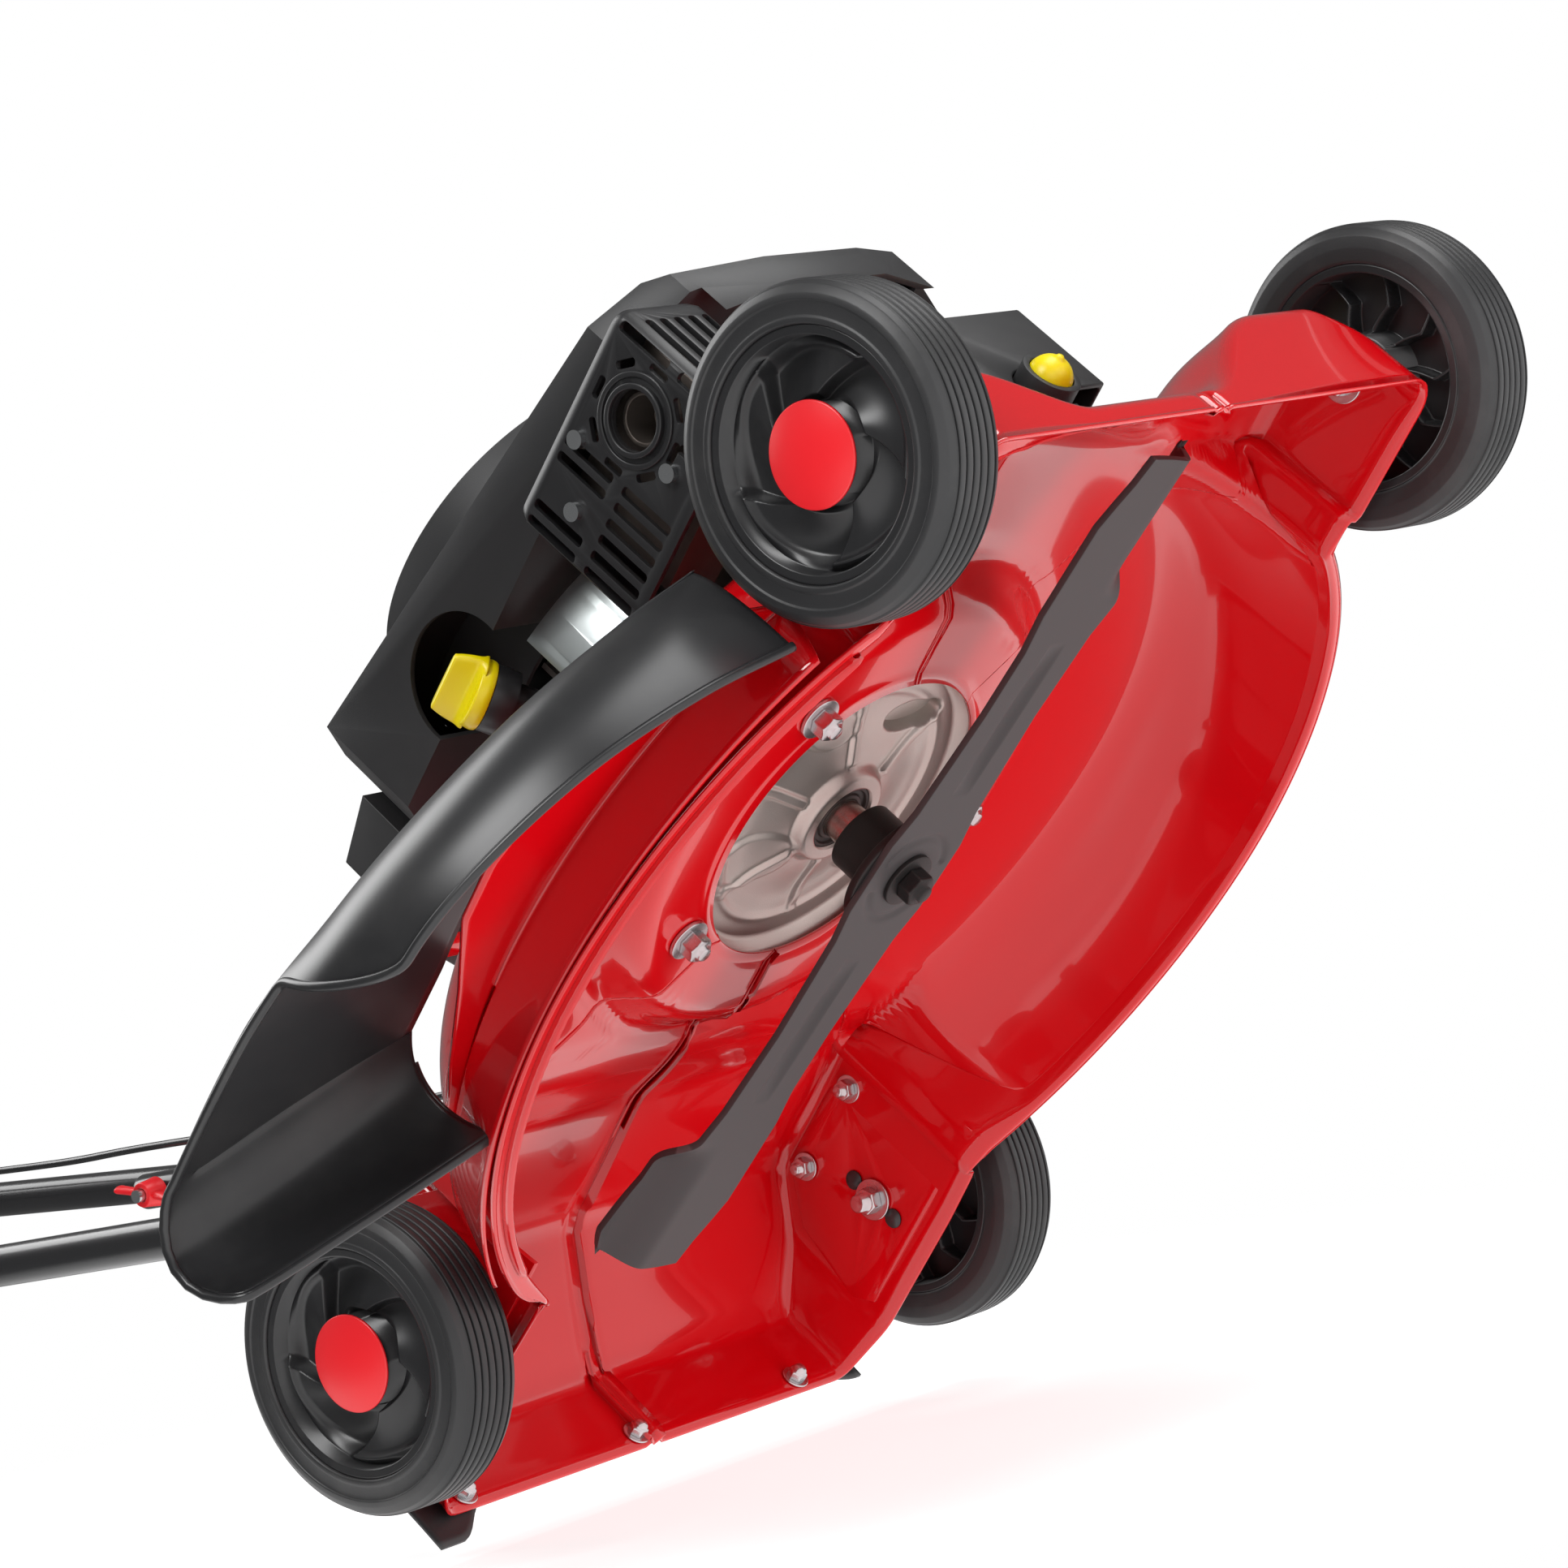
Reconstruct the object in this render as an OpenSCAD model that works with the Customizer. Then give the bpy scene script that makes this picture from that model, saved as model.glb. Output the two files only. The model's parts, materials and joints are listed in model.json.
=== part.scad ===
// Petrol push lawn mower with a side-discharge steel deck and a vertical-shaft engine.
// Forward is -Y, up is +Z, the discharge chute is on the -X side.
// The model stands on its wheels, and the origin is under the middle of its bounding box.

/* [Wheels] */
// Outside radius of a tyre
tyre_r = 77; // [70:1:88]
// Width of a tyre
tyre_w = 41; // [34:1:46]
// Radius of the plastic hub inside the tyre
hub_r = 57; // [50:1:62]
// Radius of the domed hub cap
cap_r = 24.3; // [18:0.1:28]
// Radius of the axle bolt's shank
axle_r = 6; // [5:0.1:8]
// Distance between the front and rear axles
wheelbase = 546; // [520:1:600]

/* [Deck] */
// Height of the deck's lower edge above the ground
rim_z = 35; // [25:1:45]
// Thickness of the deck's sheet steel
sheet_t = 2.4; // [1.5:0.1:3]
// Outside radius of the round blade housing
volute_r = 280.5; // [275:0.5:300]
// Sideways shift of the blade housing towards the chute
volute_shift = 4.5; // [0:0.5:8]
// Height of the blade housing's top
volute_top = 130; // [124:1:150]
// Height of the engine seat's top face
seat_z = 112; // [108:1:118]
// Radius of the recessed engine seat
seat_r = 120; // [116:1:128]
// Radius of the opening under the engine
opening_r = 85; // [70:1:88]
// Half width of the deck between the wheels
deck_half_w = 185; // [180:1:188]
// Distance from the crankshaft to the front wall
front_reach = 306; // [296:1:330]
// Distance from the crankshaft to the rear wall
rear_reach = 362; // [356:1:400]
// Height of the deck's rear top face
rear_top = 142; // [136:1:148]

/* [Blade] */
// Cutting radius of the blade
blade_r = 254; // [220:1:256]
// Thickness of the blade
blade_t = 3.5; // [2.5:0.1:5]
// Height of the blade's underside
blade_z = 62; // [58:1:66]

/* [Engine] */
// Radius of the crankshaft
shaft_r = 11.1; // [9:0.1:13]
// Half of the bolt circle's diameter
bolt_circle_r = 101.6; // [95:0.1:106]
// Half width of the engine shroud
shroud_half_w = 155; // [140:1:165]
// Radius of the recoil starter's housing
recoil_r = 104; // [90:1:115]
// Height of the recoil starter's top
recoil_top = 356; // [345:1:380]
// Wall of the engine's plastic covers
cover_t = 3; // [2:0.1:4]

/* [Deflector] */
// Distance from the crankshaft to the deflector's outer edge
deflector_reach = 405; // [385:1:430]
// Wall of the deflector
deflector_t = 3; // [2:0.1:4]
// Height of the deflector's top
deflector_top = 110; // [104:1:116]

/* [Handle] */
// Radius of the handle's tubes
tube_r = 11; // [9:0.1:13]
// Half distance between the lower handle's tubes
handle_half_w = 190; // [186:1:200]
// Rise angle of the lower handle
lower_angle = 42; // [36:1:48]
// Length of a lower handle tube from its bracket to the folding joint
lower_len = 498; // [440:1:540]
// Rise angle of the upper handle
upper_angle = 45; // [38:1:50]
// Length of the upper handle from the folding joint to its crossbar
upper_len = 520; // [440:1:600]
// Radius of the foam grip
grip_r = 15; // [13.5:0.1:18]

/* [Hidden] */
$fn = 64;
fit_gap = 0.06;
axle_z = tyre_r;
axle_y = wheelbase / 2;
wheel_x = 216;
rear_half_w = 178;
height_step = 16;
spare_hole_r = 5.3;
cap_seat = 17.6;
cap_plug_r = 21;
bolt_angles = [-132, 5, 143];
bolt_r = 4;
plate_t = 3;
crank_z = 182;
shroud_low = 242;
shroud_back = 110;
cylinder_end = 155;
post_angles = [60, 160, -40, -150];
rope_z = recoil_top - 27;
rope_x = -60;
fuel_cap_x = 70;
fuel_cap_y = 140;
base_z = 132;
primer_x = 94;
primer_z = 176;
flywheel_r = 86;
filler_y = -6;
blade_turn = 99;
shield_screw_x = [-140, -8, 123];
shield_screw_z = rim_z + 6;
plate_bolt_y = [232, 289];
plate_bolt_z = 123;
outlet_y = -198;
outlet_z = 200;
filler_top = [-150, filler_y, 232];
guard_screw_places = [[-140, 208], [-190, 170], [-170, 224]];
rod_r = 3;
rod_x = -300;
rod_z = 118;
rod_front = -74;
bail_s = upper_len - 150;
bail_arm = 168;
bail_lift = 25;
bail_x = handle_half_w + tube_r + 1 - 14;

// Folding joint of the handle
lower_y = 280;
lower_z = 179;
tube_wall = 1.6;
pin_r = 3;
bracket_bolts = [0, 36];
joint_y = lower_y + lower_len * cos(lower_angle);
joint_z = lower_z + lower_len * sin(lower_angle);
bar_y = joint_y + upper_len * cos(upper_angle);
bar_z = joint_z + upper_len * sin(upper_angle);
upper_x = handle_half_w + 2 * tube_r + 1;

// Route of the stop cable, from the engine's brake to the upper handle
cable_route = [
    [120, 60, 226], [165, 120, 214], [172, 240, 196], [172, 360, 290], [172, 500, 412], [186, 640, 540],
    [196, 720, 612], [196, 860, 750], [196, 900, 800]
];

// Shift that puts the origin under the middle of the bounding box
left_edge = volute_r - volute_shift;
middle_x = (left_edge - deflector_reach) / 2;
middle_y = (bar_y + grip_r - axle_y - tyre_r) / 2;

// ---- Helpers ----

// Moves a piece from the crankshaft's axis to the model's origin
module placed() {
    translate([-middle_x, -middle_y, 0])
    children();
}

// Cylinder from one point to another
module rod_between(a, b, r) {
    d = b - a;
    len = norm(d);
    tilt = acos(d[2] / len);
    turn = atan2(d[1], d[0]);
    translate(a)
    rotate([0, tilt, turn])
    cylinder(r = r, h = len);
}

// Round bar bent into a U, with its open end at y = start and its crossbar at y = finish
module bent_bar(half_w, start, finish, bend, r) {
    for (side = [-1, 1])
        mirror([side < 0 ? 1 : 0, 0, 0]) {
            translate([half_w, start, 0])
            rotate([-90, 0, 0])
            cylinder(r = r, h = finish - bend - start);
            translate([half_w - bend, finish - bend, 0])
            rotate_extrude(angle = 90)
            translate([bend, 0])
            circle(r = r);
        }
    translate([bend - half_w, finish, 0])
    rotate([0, 90, 0])
    cylinder(r = r, h = 2 * (half_w - bend));
}

// Swept tube of many short stretches, as one polyhedron with 8 sides
function ring_at(p, dir, r, sides) =
    let (
        along = dir / norm(dir),
        side = cross(along, [1, 0, 0.01]),
        u = side / norm(side),
        v = cross(along, u)
    )
    [for (i = [0 : sides - 1]) p + r * (cos(360 * i / sides) * u + sin(360 * i / sides) * v)];

module swept_cable(route, r, sides) {
    n = len(route);
    rings = [for (i = [0 : n - 1])
        ring_at(route[i], route[min(i + 1, n - 1)] - route[max(i - 1, 0)], r, sides)];
    points = [for (ring = rings, p = ring) p];
    walls = [for (i = [0 : n - 2], k = [0 : sides - 1])
        [i * sides + k, i * sides + (k + 1) % sides, (i + 1) * sides + (k + 1) % sides, (i + 1) * sides + k]];
    start = [[for (k = [sides - 1 : -1 : 0]) k]];
    finish = [[for (k = [0 : sides - 1]) (n - 1) * sides + k]];
    polyhedron(points, concat(walls, start, finish));
}

// Cylinder along X, starting at x
module x_cylinder(x, y, z, r, h) {
    translate([x, y, z])
    rotate([0, 90, 0])
    cylinder(r = r, h = h);
}

// Hexagon nut or head along Z
module hexagon(width, h) {
    cylinder(r = width / sqrt(3), h = h, $fn = 6);
}

// ---- Deck ----

// Side profile of the blade housing from its middle to its rim, t inside the outer face
module volute_profile(t) {
    r = volute_r - t;
    top = volute_top - t;
    polygon([
        [0, rim_z - (t > 0 ? 1 : 0)],
        [0, top],
        [r - 62, top],
        [r - 40, top - 6],
        [r - 23, top - 20],
        [r - 12, top - 42],
        [r, rim_z + 8],
        [r, rim_z - (t > 0 ? 1 : 0)]
    ]);
}

// Outline of the front wall seen from the front, t inside the outer face
module front_outline(t) {
    w = deck_half_w - t;
    low = rim_z - (t > 0 ? 1 : 0);
    polygon([
        [-w, low], [-w, 74 - t], [-150, 92 - t], [-128 - t / 2, 80 - t], [-108 - t / 2, 60 - t],
        [-80, 52 - t], [10, 52 - t], [44 + t / 2, 70 - t], [80 + t / 2, 96 - t], [130, 103 - t],
        [160 - t / 2, 94 - t], [w, 62 - t], [w, low]
    ]);
}

// Outline of the taller block behind the front wall, which holds the front axles
module front_block_outline(t) {
    w = deck_half_w - t;
    low = rim_z - (t > 0 ? 1 : 0);
    polygon([
        [-w, low], [-w, 104 - t], [-160, 112 - t], [-128, 100 - t], [-100, 84 - t], [-80, 80 - t],
        [10, 80 - t], [44, 92 - t], [80, 104 - t], [130, 114 - t], [160, 112 - t], [w, 104 - t], [w, low]
    ]);
}

// Outline of the rear block seen from the side, t inside the outer face
module rear_outline(t) {
    low = rim_z - (t > 0 ? 1 : 0);
    polygon([
        [130 + t, low], [130 + t, 128 - t], [200, rear_top - t], [300 - t / 2, rear_top - t],
        [330 - t / 2, 116 - t], [rear_reach - t, 82 - t / 2], [rear_reach - t, low]
    ]);
}

// Solid the deck's outer or inner face encloses
module deck_solid(t) {
    translate([-volute_shift, 0, 0])
    rotate_extrude()
    volute_profile(t);
    translate([0, -190, 0])
    rotate([90, 0, 0])
    linear_extrude(front_reach - 190 - t)
    front_outline(t);
    translate([0, -190, 0])
    rotate([90, 0, 0])
    linear_extrude(front_reach - 206 - t)
    front_block_outline(t);
    translate([t - rear_half_w, 0, 0])
    rotate([90, 0, 90])
    linear_extrude(2 * (rear_half_w - t))
    rear_outline(t);
}

// Round engine seat sunk into the top of the blade housing
module seat_dish(extra) {
    translate([0, 0, seat_z - extra])
    cylinder(r1 = seat_r + extra, r2 = seat_r + extra + 12, h = volute_top - seat_z + extra + 1);
}

// Ledge under the discharge opening, outside the blade housing's wall
module discharge_ledge(grow) {
    translate([0, 0, 76])
    linear_extrude(sheet_t + grow)
    difference() {
        polygon([
            [-200, -150], [-300, -110], [-326, -60], [-326, -28], [-311, -4], [-299, 20], [-286, 50],
            [-250, 95], [-200, 120]
        ]);
        translate([-volute_shift, 0])
        circle(r = volute_r - 14);
    }
}

// Hole pattern of the wheel heights on one side panel
module height_holes(side, y) {
    for (step = [-1, 0, 1])
        x_cylinder(side * (deck_half_w - 10) - 20, y, axle_z + step * height_step, spare_hole_r, 40);
}

module deck() {
    color("red")
    placed()
    difference() {
        union() {
            difference() {
                difference() {
                    deck_solid(0);
                    seat_dish(0);
                }
                difference() {
                    deck_solid(sheet_t);
                    seat_dish(sheet_t);
                }
            }
            discharge_ledge(0);
        }
        translate([0, 0, seat_z - 10])
        cylinder(r = opening_r, h = 20);
        for (a = bolt_angles)
            rotate([0, 0, a])
            translate([bolt_circle_r, 0, seat_z - 10])
            cylinder(r = bolt_r + 0.6, h = 20);
        translate([-360, -125, 76 + sheet_t])
        cube([120, 160, 33]);
        for (side = [-1, 1], y = [-axle_y, axle_y])
            height_holes(side, y);
        for (side = [-1, 1], y = plate_bolt_y)
            x_cylinder(side * rear_half_w - 10, y, plate_bolt_z, 3.3, 20);
        for (x = shield_screw_x)
            translate([x, rear_reach - 10, shield_screw_z])
            rotate([-90, 0, 0])
            cylinder(r = 2.6, h = 20);
    }
}

// Black trailing shield behind the rear wall
module rear_shield() {
    color([0.1, 0.1, 0.1])
    placed()
    difference() {
        translate([-175, rear_reach + 0.1, 14])
        cube([350, 4, 66]);
        for (x = shield_screw_x)
            translate([x, rear_reach - 1, shield_screw_z])
            rotate([-90, 0, 0])
            cylinder(r = 2.6, h = 8);
    }
}

module shield_screws() {
    color("silver")
    placed()
    for (x = shield_screw_x)
        translate([x, rear_reach - sheet_t - 0.1, shield_screw_z])
        rotate([90, 0, 0]) {
            translate([0, 0, -12])
            cylinder(r = 2.5, h = 12);
            cylinder(r = 6, h = 1.2);
            translate([0, 0, 1.2])
            hexagon(8, 3.6);
            translate([0, 0, 4])
            cylinder(r = 2.6, h = 3);
        }
}

// Steel plate that stiffens the deck where the rear axle is bolted
module height_plate(side) {
    x = side > 0 ? rear_half_w - sheet_t - plate_t - 0.1 : -rear_half_w + sheet_t + 0.1;
    translate([x, 0, 0])
    rotate([90, 0, 90])
    difference() {
        linear_extrude(plate_t)
        polygon([
            [196, 46], [204, 112], [232, 134], [294, 134], [320, 106], [330, 60], [322, 46]
        ]);
        for (step = [-1, 0, 1])
            translate([axle_y, axle_z + step * height_step, -1])
            cylinder(r = spare_hole_r, h = plate_t + 2);
        for (y = plate_bolt_y)
            translate([y, plate_bolt_z, -1])
            cylinder(r = 3.3, h = plate_t + 2);
    }
}

module height_plate_left() {
    color("red")
    placed()
    height_plate(1);
}

module height_plate_right() {
    color("red")
    placed()
    height_plate(-1);
}

module plate_bolts() {
    color("silver")
    placed()
    for (side = [-1, 1], y = plate_bolt_y)
        translate([side * (rear_half_w - sheet_t - plate_t - 0.2), y, plate_bolt_z])
        rotate([0, -90 * side, 0]) {
            translate([0, 0, -plate_t - sheet_t - 1])
            cylinder(r = 3, h = plate_t + sheet_t + 1);
            cylinder(r = 7.5, h = 1.4);
            translate([0, 0, 1.4])
            hexagon(10, 5);
            translate([0, 0, 6])
            cylinder(r = 3, h = 4);
        }
}

// ---- Wheels ----

// Where the deck's side panel stands beside a wheel
function panel_x(front) = front ? deck_half_w : rear_half_w;

// Shoulder bolt, washers and nut that hold one wheel
module axle_bolt(side, front) {
    inner = panel_x(front) - sheet_t - (front ? 0 : plate_t + 0.1);
    x_cylinder(inner - 16, 0, 0, 4.9, wheel_x + 12 - inner + 16);
    x_cylinder(panel_x(front) + 0.3, 0, 0, axle_r, wheel_x + 13 - panel_x(front) - 0.3);
    x_cylinder(wheel_x + 13, 0, 0, 11, 4.6);
    x_cylinder(inner - 2.2, 0, 0, 11, 2);
    x_cylinder(panel_x(front) + 0.3, 0, 0, 10.5, 2);
    translate([inner - 10.2, 0, 0])
    rotate([0, 90, 0])
    hexagon(15, 8);
}

module axle_bolts() {
    color("silver")
    placed()
    for (side = [-1, 1], front = [true, false])
        translate([0, front ? -axle_y : axle_y, axle_z])
        mirror([side < 0 ? 1 : 0, 0, 0])
        axle_bolt(side, front);
}

// Rubber ring with rounded shoulders and six grooves
module tyre() {
    rubber = tyre_r - hub_r;
    bead = 0.15 * rubber;
    shoulder = 0.45 * rubber;
    bend = 0.2 * rubber;
    crown = 0.05 * rubber;
    rotate([0, 90, 0])
    rotate_extrude()
    difference() {
        translate([0, -tyre_w / 2])
        polygon([
            [hub_r + 0.1, 1], [hub_r + bead, 0], [tyre_r - shoulder, 0], [tyre_r - bend, 1.6],
            [tyre_r - crown, 5], [tyre_r, 9], [tyre_r, tyre_w - 9], [tyre_r - crown, tyre_w - 5],
            [tyre_r - bend, tyre_w - 1.6], [tyre_r - shoulder, tyre_w], [hub_r + bead, tyre_w],
            [hub_r + 0.1, tyre_w - 1]
        ]);
        for (i = [-3 : 3])
            translate([tyre_r - 1.2, i * 4.6 - 0.5])
            square([2, 1]);
    }
}

// Plastic hub with a dished web and five ribs on its outer side
module hub() {
    rotate([0, 90, 0])
    difference() {
        union() {
            translate([0, 0, -tyre_w / 2 + 1])
            difference() {
                cylinder(r = hub_r, h = tyre_w - 2);
                translate([0, 0, -1])
                cylinder(r = hub_r - 4, h = 12);
                translate([0, 0, tyre_w - 16])
                cylinder(r = hub_r - 4, h = 16);
            }
            translate([0, 0, -tyre_w / 2 + 1])
            cylinder(r = cap_r, h = cap_seat + tyre_w / 2 - 1.1);
            for (i = [0 : 4])
                rotate([0, 0, 72 * i])
                translate([13, -2, 0])
                cube([hub_r - 15, 4, tyre_w / 2 - 6]);
        }
        translate([0, 0, -tyre_w])
        cylinder(r = axle_r + fit_gap, h = 2 * tyre_w);
        translate([0, 0, cap_seat - 5])
        cylinder(r = cap_plug_r, h = 12);
    }
}

// Domed cap pressed into the hub's middle
module hub_cap() {
    dome_r = 70;
    edge = cap_seat + 1.2;
    drop = sqrt(dome_r * dome_r - cap_r * cap_r);
    plug = cap_plug_r - 0.02;
    rotate([0, 90, 0])
    rotate_extrude()
    polygon(concat(
        [[0, cap_seat + 2], [plug - 2, cap_seat + 2], [plug - 2, cap_seat - 3.4], [plug, cap_seat - 3.4]],
        [[plug, cap_seat], [cap_r, cap_seat]],
        [for (i = [8 : -1 : 0]) let (r = cap_r * i / 8) [r, edge + sqrt(dome_r * dome_r - r * r) - drop]]
    ));
}

// Puts a left wheel's piece at one corner
module at_wheel(corner) {
    front = corner < 2;
    right = corner % 2 == 1;
    translate([0, front ? -axle_y : axle_y, axle_z])
    mirror([right ? 1 : 0, 0, 0])
    translate([wheel_x, 0, 0])
    children();
}

module wheel_tyre(corner) {
    color([0.09, 0.09, 0.1])
    placed()
    at_wheel(corner)
    tyre();
}

module wheel_hub(corner) {
    color([0.15, 0.15, 0.16])
    placed()
    at_wheel(corner)
    hub();
}

module wheel_cap(corner) {
    color("crimson")
    placed()
    at_wheel(corner)
    hub_cap();
}

// ---- Blade and crankshaft ----

module blade() {
    color([0.25, 0.25, 0.25])
    placed()
    rotate([0, 0, blade_turn])
    translate([0, 0, blade_z])
    difference() {
        union() {
            intersection() {
                linear_extrude(blade_t)
                for (turn = [0, 180])
                    rotate(turn)
                    polygon([
                        [-1, -30], [20, -30], [36, -24], [100, -22], [140, -24], [170, -31], [212, -31],
                        [224, -24], [260, -24], [260, 20], [240, 31], [206, 31], [150, 24], [100, 22],
                        [36, 24], [20, 30], [-1, 30]
                    ]);
                cylinder(r = blade_r, h = blade_t);
            }
            for (turn = [0, 180])
                rotate(turn)
                translate([178, 16, blade_t - 0.6])
                rotate([38, 0, 0])
                cube([54, 22, blade_t - 1]);
        }
        translate([0, 0, -1])
        cylinder(r = 5.2, h = blade_t + 2);
    }
}

module blade_adapter() {
    color([0.12, 0.12, 0.12])
    placed()
    difference() {
        union() {
            translate([0, 0, blade_z + blade_t + 0.05])
            cylinder(r = 34, h = 5);
            translate([0, 0, blade_z + blade_t + 5])
            cylinder(r = 19, h = 26);
        }
        translate([0, 0, blade_z + blade_t + 6])
        cylinder(r = shaft_r, h = 40);
        translate([0, 0, blade_z])
        cylinder(r = 5.2, h = 20);
    }
}

module blade_bolt() {
    color("silver")
    placed() {
        translate([0, 0, blade_z - 2.6])
        cylinder(r = 16, h = 2.5);
        translate([0, 0, blade_z - 4])
        cylinder(r = 11, h = 1.5);
        translate([0, 0, blade_z - 11])
        hexagon(16, 7.1);
        translate([0, 0, blade_z - 4])
        cylinder(r = 4.8, h = 34);
    }
}

module crankshaft() {
    color("lightgray")
    placed()
    difference() {
        union() {
            translate([0, 0, blade_z + blade_t + 6.1])
            cylinder(r = shaft_r, h = 148);
            translate([0, 0, 200])
            cylinder(r = 9, h = 82);
            translate([0, -14, 168])
            cylinder(r = 26, h = 10);
            translate([0, -14, 190])
            cylinder(r = 26, h = 10);
            translate([0, -24, 176])
            cylinder(r = 11, h = 16);
        }
        translate([0, 0, blade_z])
        cylinder(r = 4.85, h = 36);
    }
}

// ---- Engine ----

module oil_seal() {
    color([0.3, 0.2, 0.15])
    placed()
    translate([0, 0, 110.5])
    difference() {
        cylinder(r = 19, h = 7);
        translate([0, 0, -1])
        cylinder(r = shaft_r + fit_gap, h = 9);
    }
}

// Oil pan with its bearing boss and radial ribs
module sump() {
    color([0.7, 0.68, 0.65])
    placed()
    difference() {
        union() {
            translate([0, 0, seat_z + 0.1])
            cylinder(r = 114, h = 16);
            translate([0, 0, seat_z - 2])
            cylinder(r = 26, h = 10);
            for (a = bolt_angles)
                rotate([0, 0, a])
                translate([bolt_circle_r, 0, seat_z + 0.1])
                cylinder(r = 13, h = 18);
        }
        difference() {
            translate([0, 0, seat_z - 1])
            cylinder(r = opening_r + 1, h = 9);
            translate([0, 0, seat_z - 4])
            cylinder(r = 26, h = 30);
            for (i = [0 : 7])
                rotate([0, 0, 45 * i + 20])
                translate([20, -2.5, seat_z + 2])
                cube([70, 5, 20]);
        }
        translate([0, 0, 100])
        cylinder(r = 19.05, h = 17.6);
        translate([0, 0, 100])
        cylinder(r = shaft_r + fit_gap, h = 60);
        for (a = bolt_angles)
            rotate([0, 0, a])
            translate([bolt_circle_r, 0, 100])
            cylinder(r = bolt_r + 0.05, h = 60);
    }
}

// Crankcase with its forward cylinder and cooling fins
module crankcase() {
    color([0.68, 0.67, 0.66])
    placed()
    difference() {
        union() {
            translate([0, 0, seat_z + 16.2])
            cylinder(r = 92, h = 44);
            translate([0, 0, seat_z + 60])
            cylinder(r = 58, h = 44);
            translate([0, 0, crank_z])
            rotate([90, 0, 0])
            cylinder(r = 36, h = cylinder_end);
            for (a = post_angles)
                rotate([0, 0, a])
                translate([100, 0, seat_z + 18])
                cylinder(r = 9, h = shroud_low - seat_z - 18.1);
            for (i = [0 : 6])
                translate([-44, -96 - 8 * i, crank_z - 44])
                cube([88, 3, 88]);
        }
        translate([0, 0, seat_z + 20])
        cylinder(r = 50, h = 76);
        translate([0, -20, crank_z])
        rotate([90, 0, 0])
        cylinder(r = 30, h = 140);
        translate([0, 0, seat_z])
        cylinder(r = shaft_r + fit_gap, h = 120);
        for (a = bolt_angles)
            rotate([0, 0, a])
            translate([bolt_circle_r, 0, seat_z])
            cylinder(r = 16, h = 70);
    }
}

module cylinder_head() {
    color([0.6, 0.6, 0.6])
    placed()
    difference() {
        union() {
            for (i = [0 : 3])
                translate([-46, -5.1 - cylinder_end - 8 * i, crank_z - 46])
                cube([92, 5, 92]);
            translate([-34, -186, crank_z - 38])
            cube([68, 185.9 - cylinder_end, 76]);
            translate([-40, -204, crank_z - 10])
            cube([80, 19, 54]);
        }
        translate([0, -150, crank_z - 26])
        rotate([90, 0, 0])
        cylinder(r = 5, h = 80);
    }
}

module flywheel() {
    color([0.55, 0.55, 0.56])
    placed()
    difference() {
        union() {
            translate([0, 0, 220])
            cylinder(r = flywheel_r, h = 12);
            translate([0, 0, 220])
            cylinder(r = 24, h = 34);
            for (i = [0 : 15])
                rotate([0, 0, 22.5 * i])
                translate([50, -1.5, 231])
                cube([36, 3, 22]);
        }
        translate([0, 0, 210])
        cylinder(r = 9.02, h = 60);
    }
}

module engine_bolts() {
    color("silver")
    placed()
    for (a = bolt_angles)
        rotate([0, 0, a])
        translate([bolt_circle_r, 0, 0]) {
            translate([0, 0, seat_z - sheet_t - 8])
            hexagon(13, 6);
            translate([0, 0, seat_z - sheet_t - 2.1])
            cylinder(r = 11, h = 2);
            translate([0, 0, seat_z - sheet_t - 12])
            cylinder(r = bolt_r, h = 32);
        }
}

// Height of the shroud's sloping top at one place along the mower
function shroud_top(y) = 307 - (72 - y) * 0.143;

// Side outline of the shroud, t inside its faces
module shroud_side(t) {
    back = shroud_back - t;
    polygon([
        [back, shroud_top(shroud_back) - t], [-226 + t, shroud_top(-226) - t], [-250 + t, 246 - t],
        [-250 + t, 224 - t], [-238 + t / 20, 224 - t], [-238 + t / 20, shroud_low + t],
        [back, shroud_low + t]
    ]);
}

// Plan outline of the shroud, t inside its faces
module shroud_plan(t) {
    w = shroud_half_w - t;
    polygon([
        [-w, 70 - t], [-w + 30, 96 - t], [-70, shroud_back - t], [70, shroud_back - t],
        [w - 30, 96 - t], [w, 60 - t], [w, -100], [w - 22, -150 + t], [w - 62, -198 + t],
        [36, -238 + t], [-10, -250 + t], [-80, -250 + t], [-w + 26, -236 + t], [-w, -200]
    ]);
}

module shroud_solid(t) {
    intersection() {
        translate([-200, 0, 0])
        rotate([90, 0, 90])
        linear_extrude(400)
        shroud_side(t);
        translate([0, 0, 200])
        linear_extrude(200)
        shroud_plan(t);
    }
}

// Blower housing over the flywheel, with a cut-out for the oil filler
module shroud() {
    color([0.11, 0.11, 0.12])
    placed()
    difference() {
        shroud_solid(0);
        shroud_solid(cover_t);
        translate([-250, filler_y, 246])
        rotate([0, 90, 0])
        cylinder(r = 34, h = 190);
        translate([0, 0, shroud_low + cover_t])
        cylinder(r = recoil_r + 0.1, h = 100);
        translate([0, 0, shroud_low - 1])
        cylinder(r = flywheel_r + 4, h = 10);
        translate([-50, -230, shroud_low - 1])
        cube([100, 150, 10]);
    }
}

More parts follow.
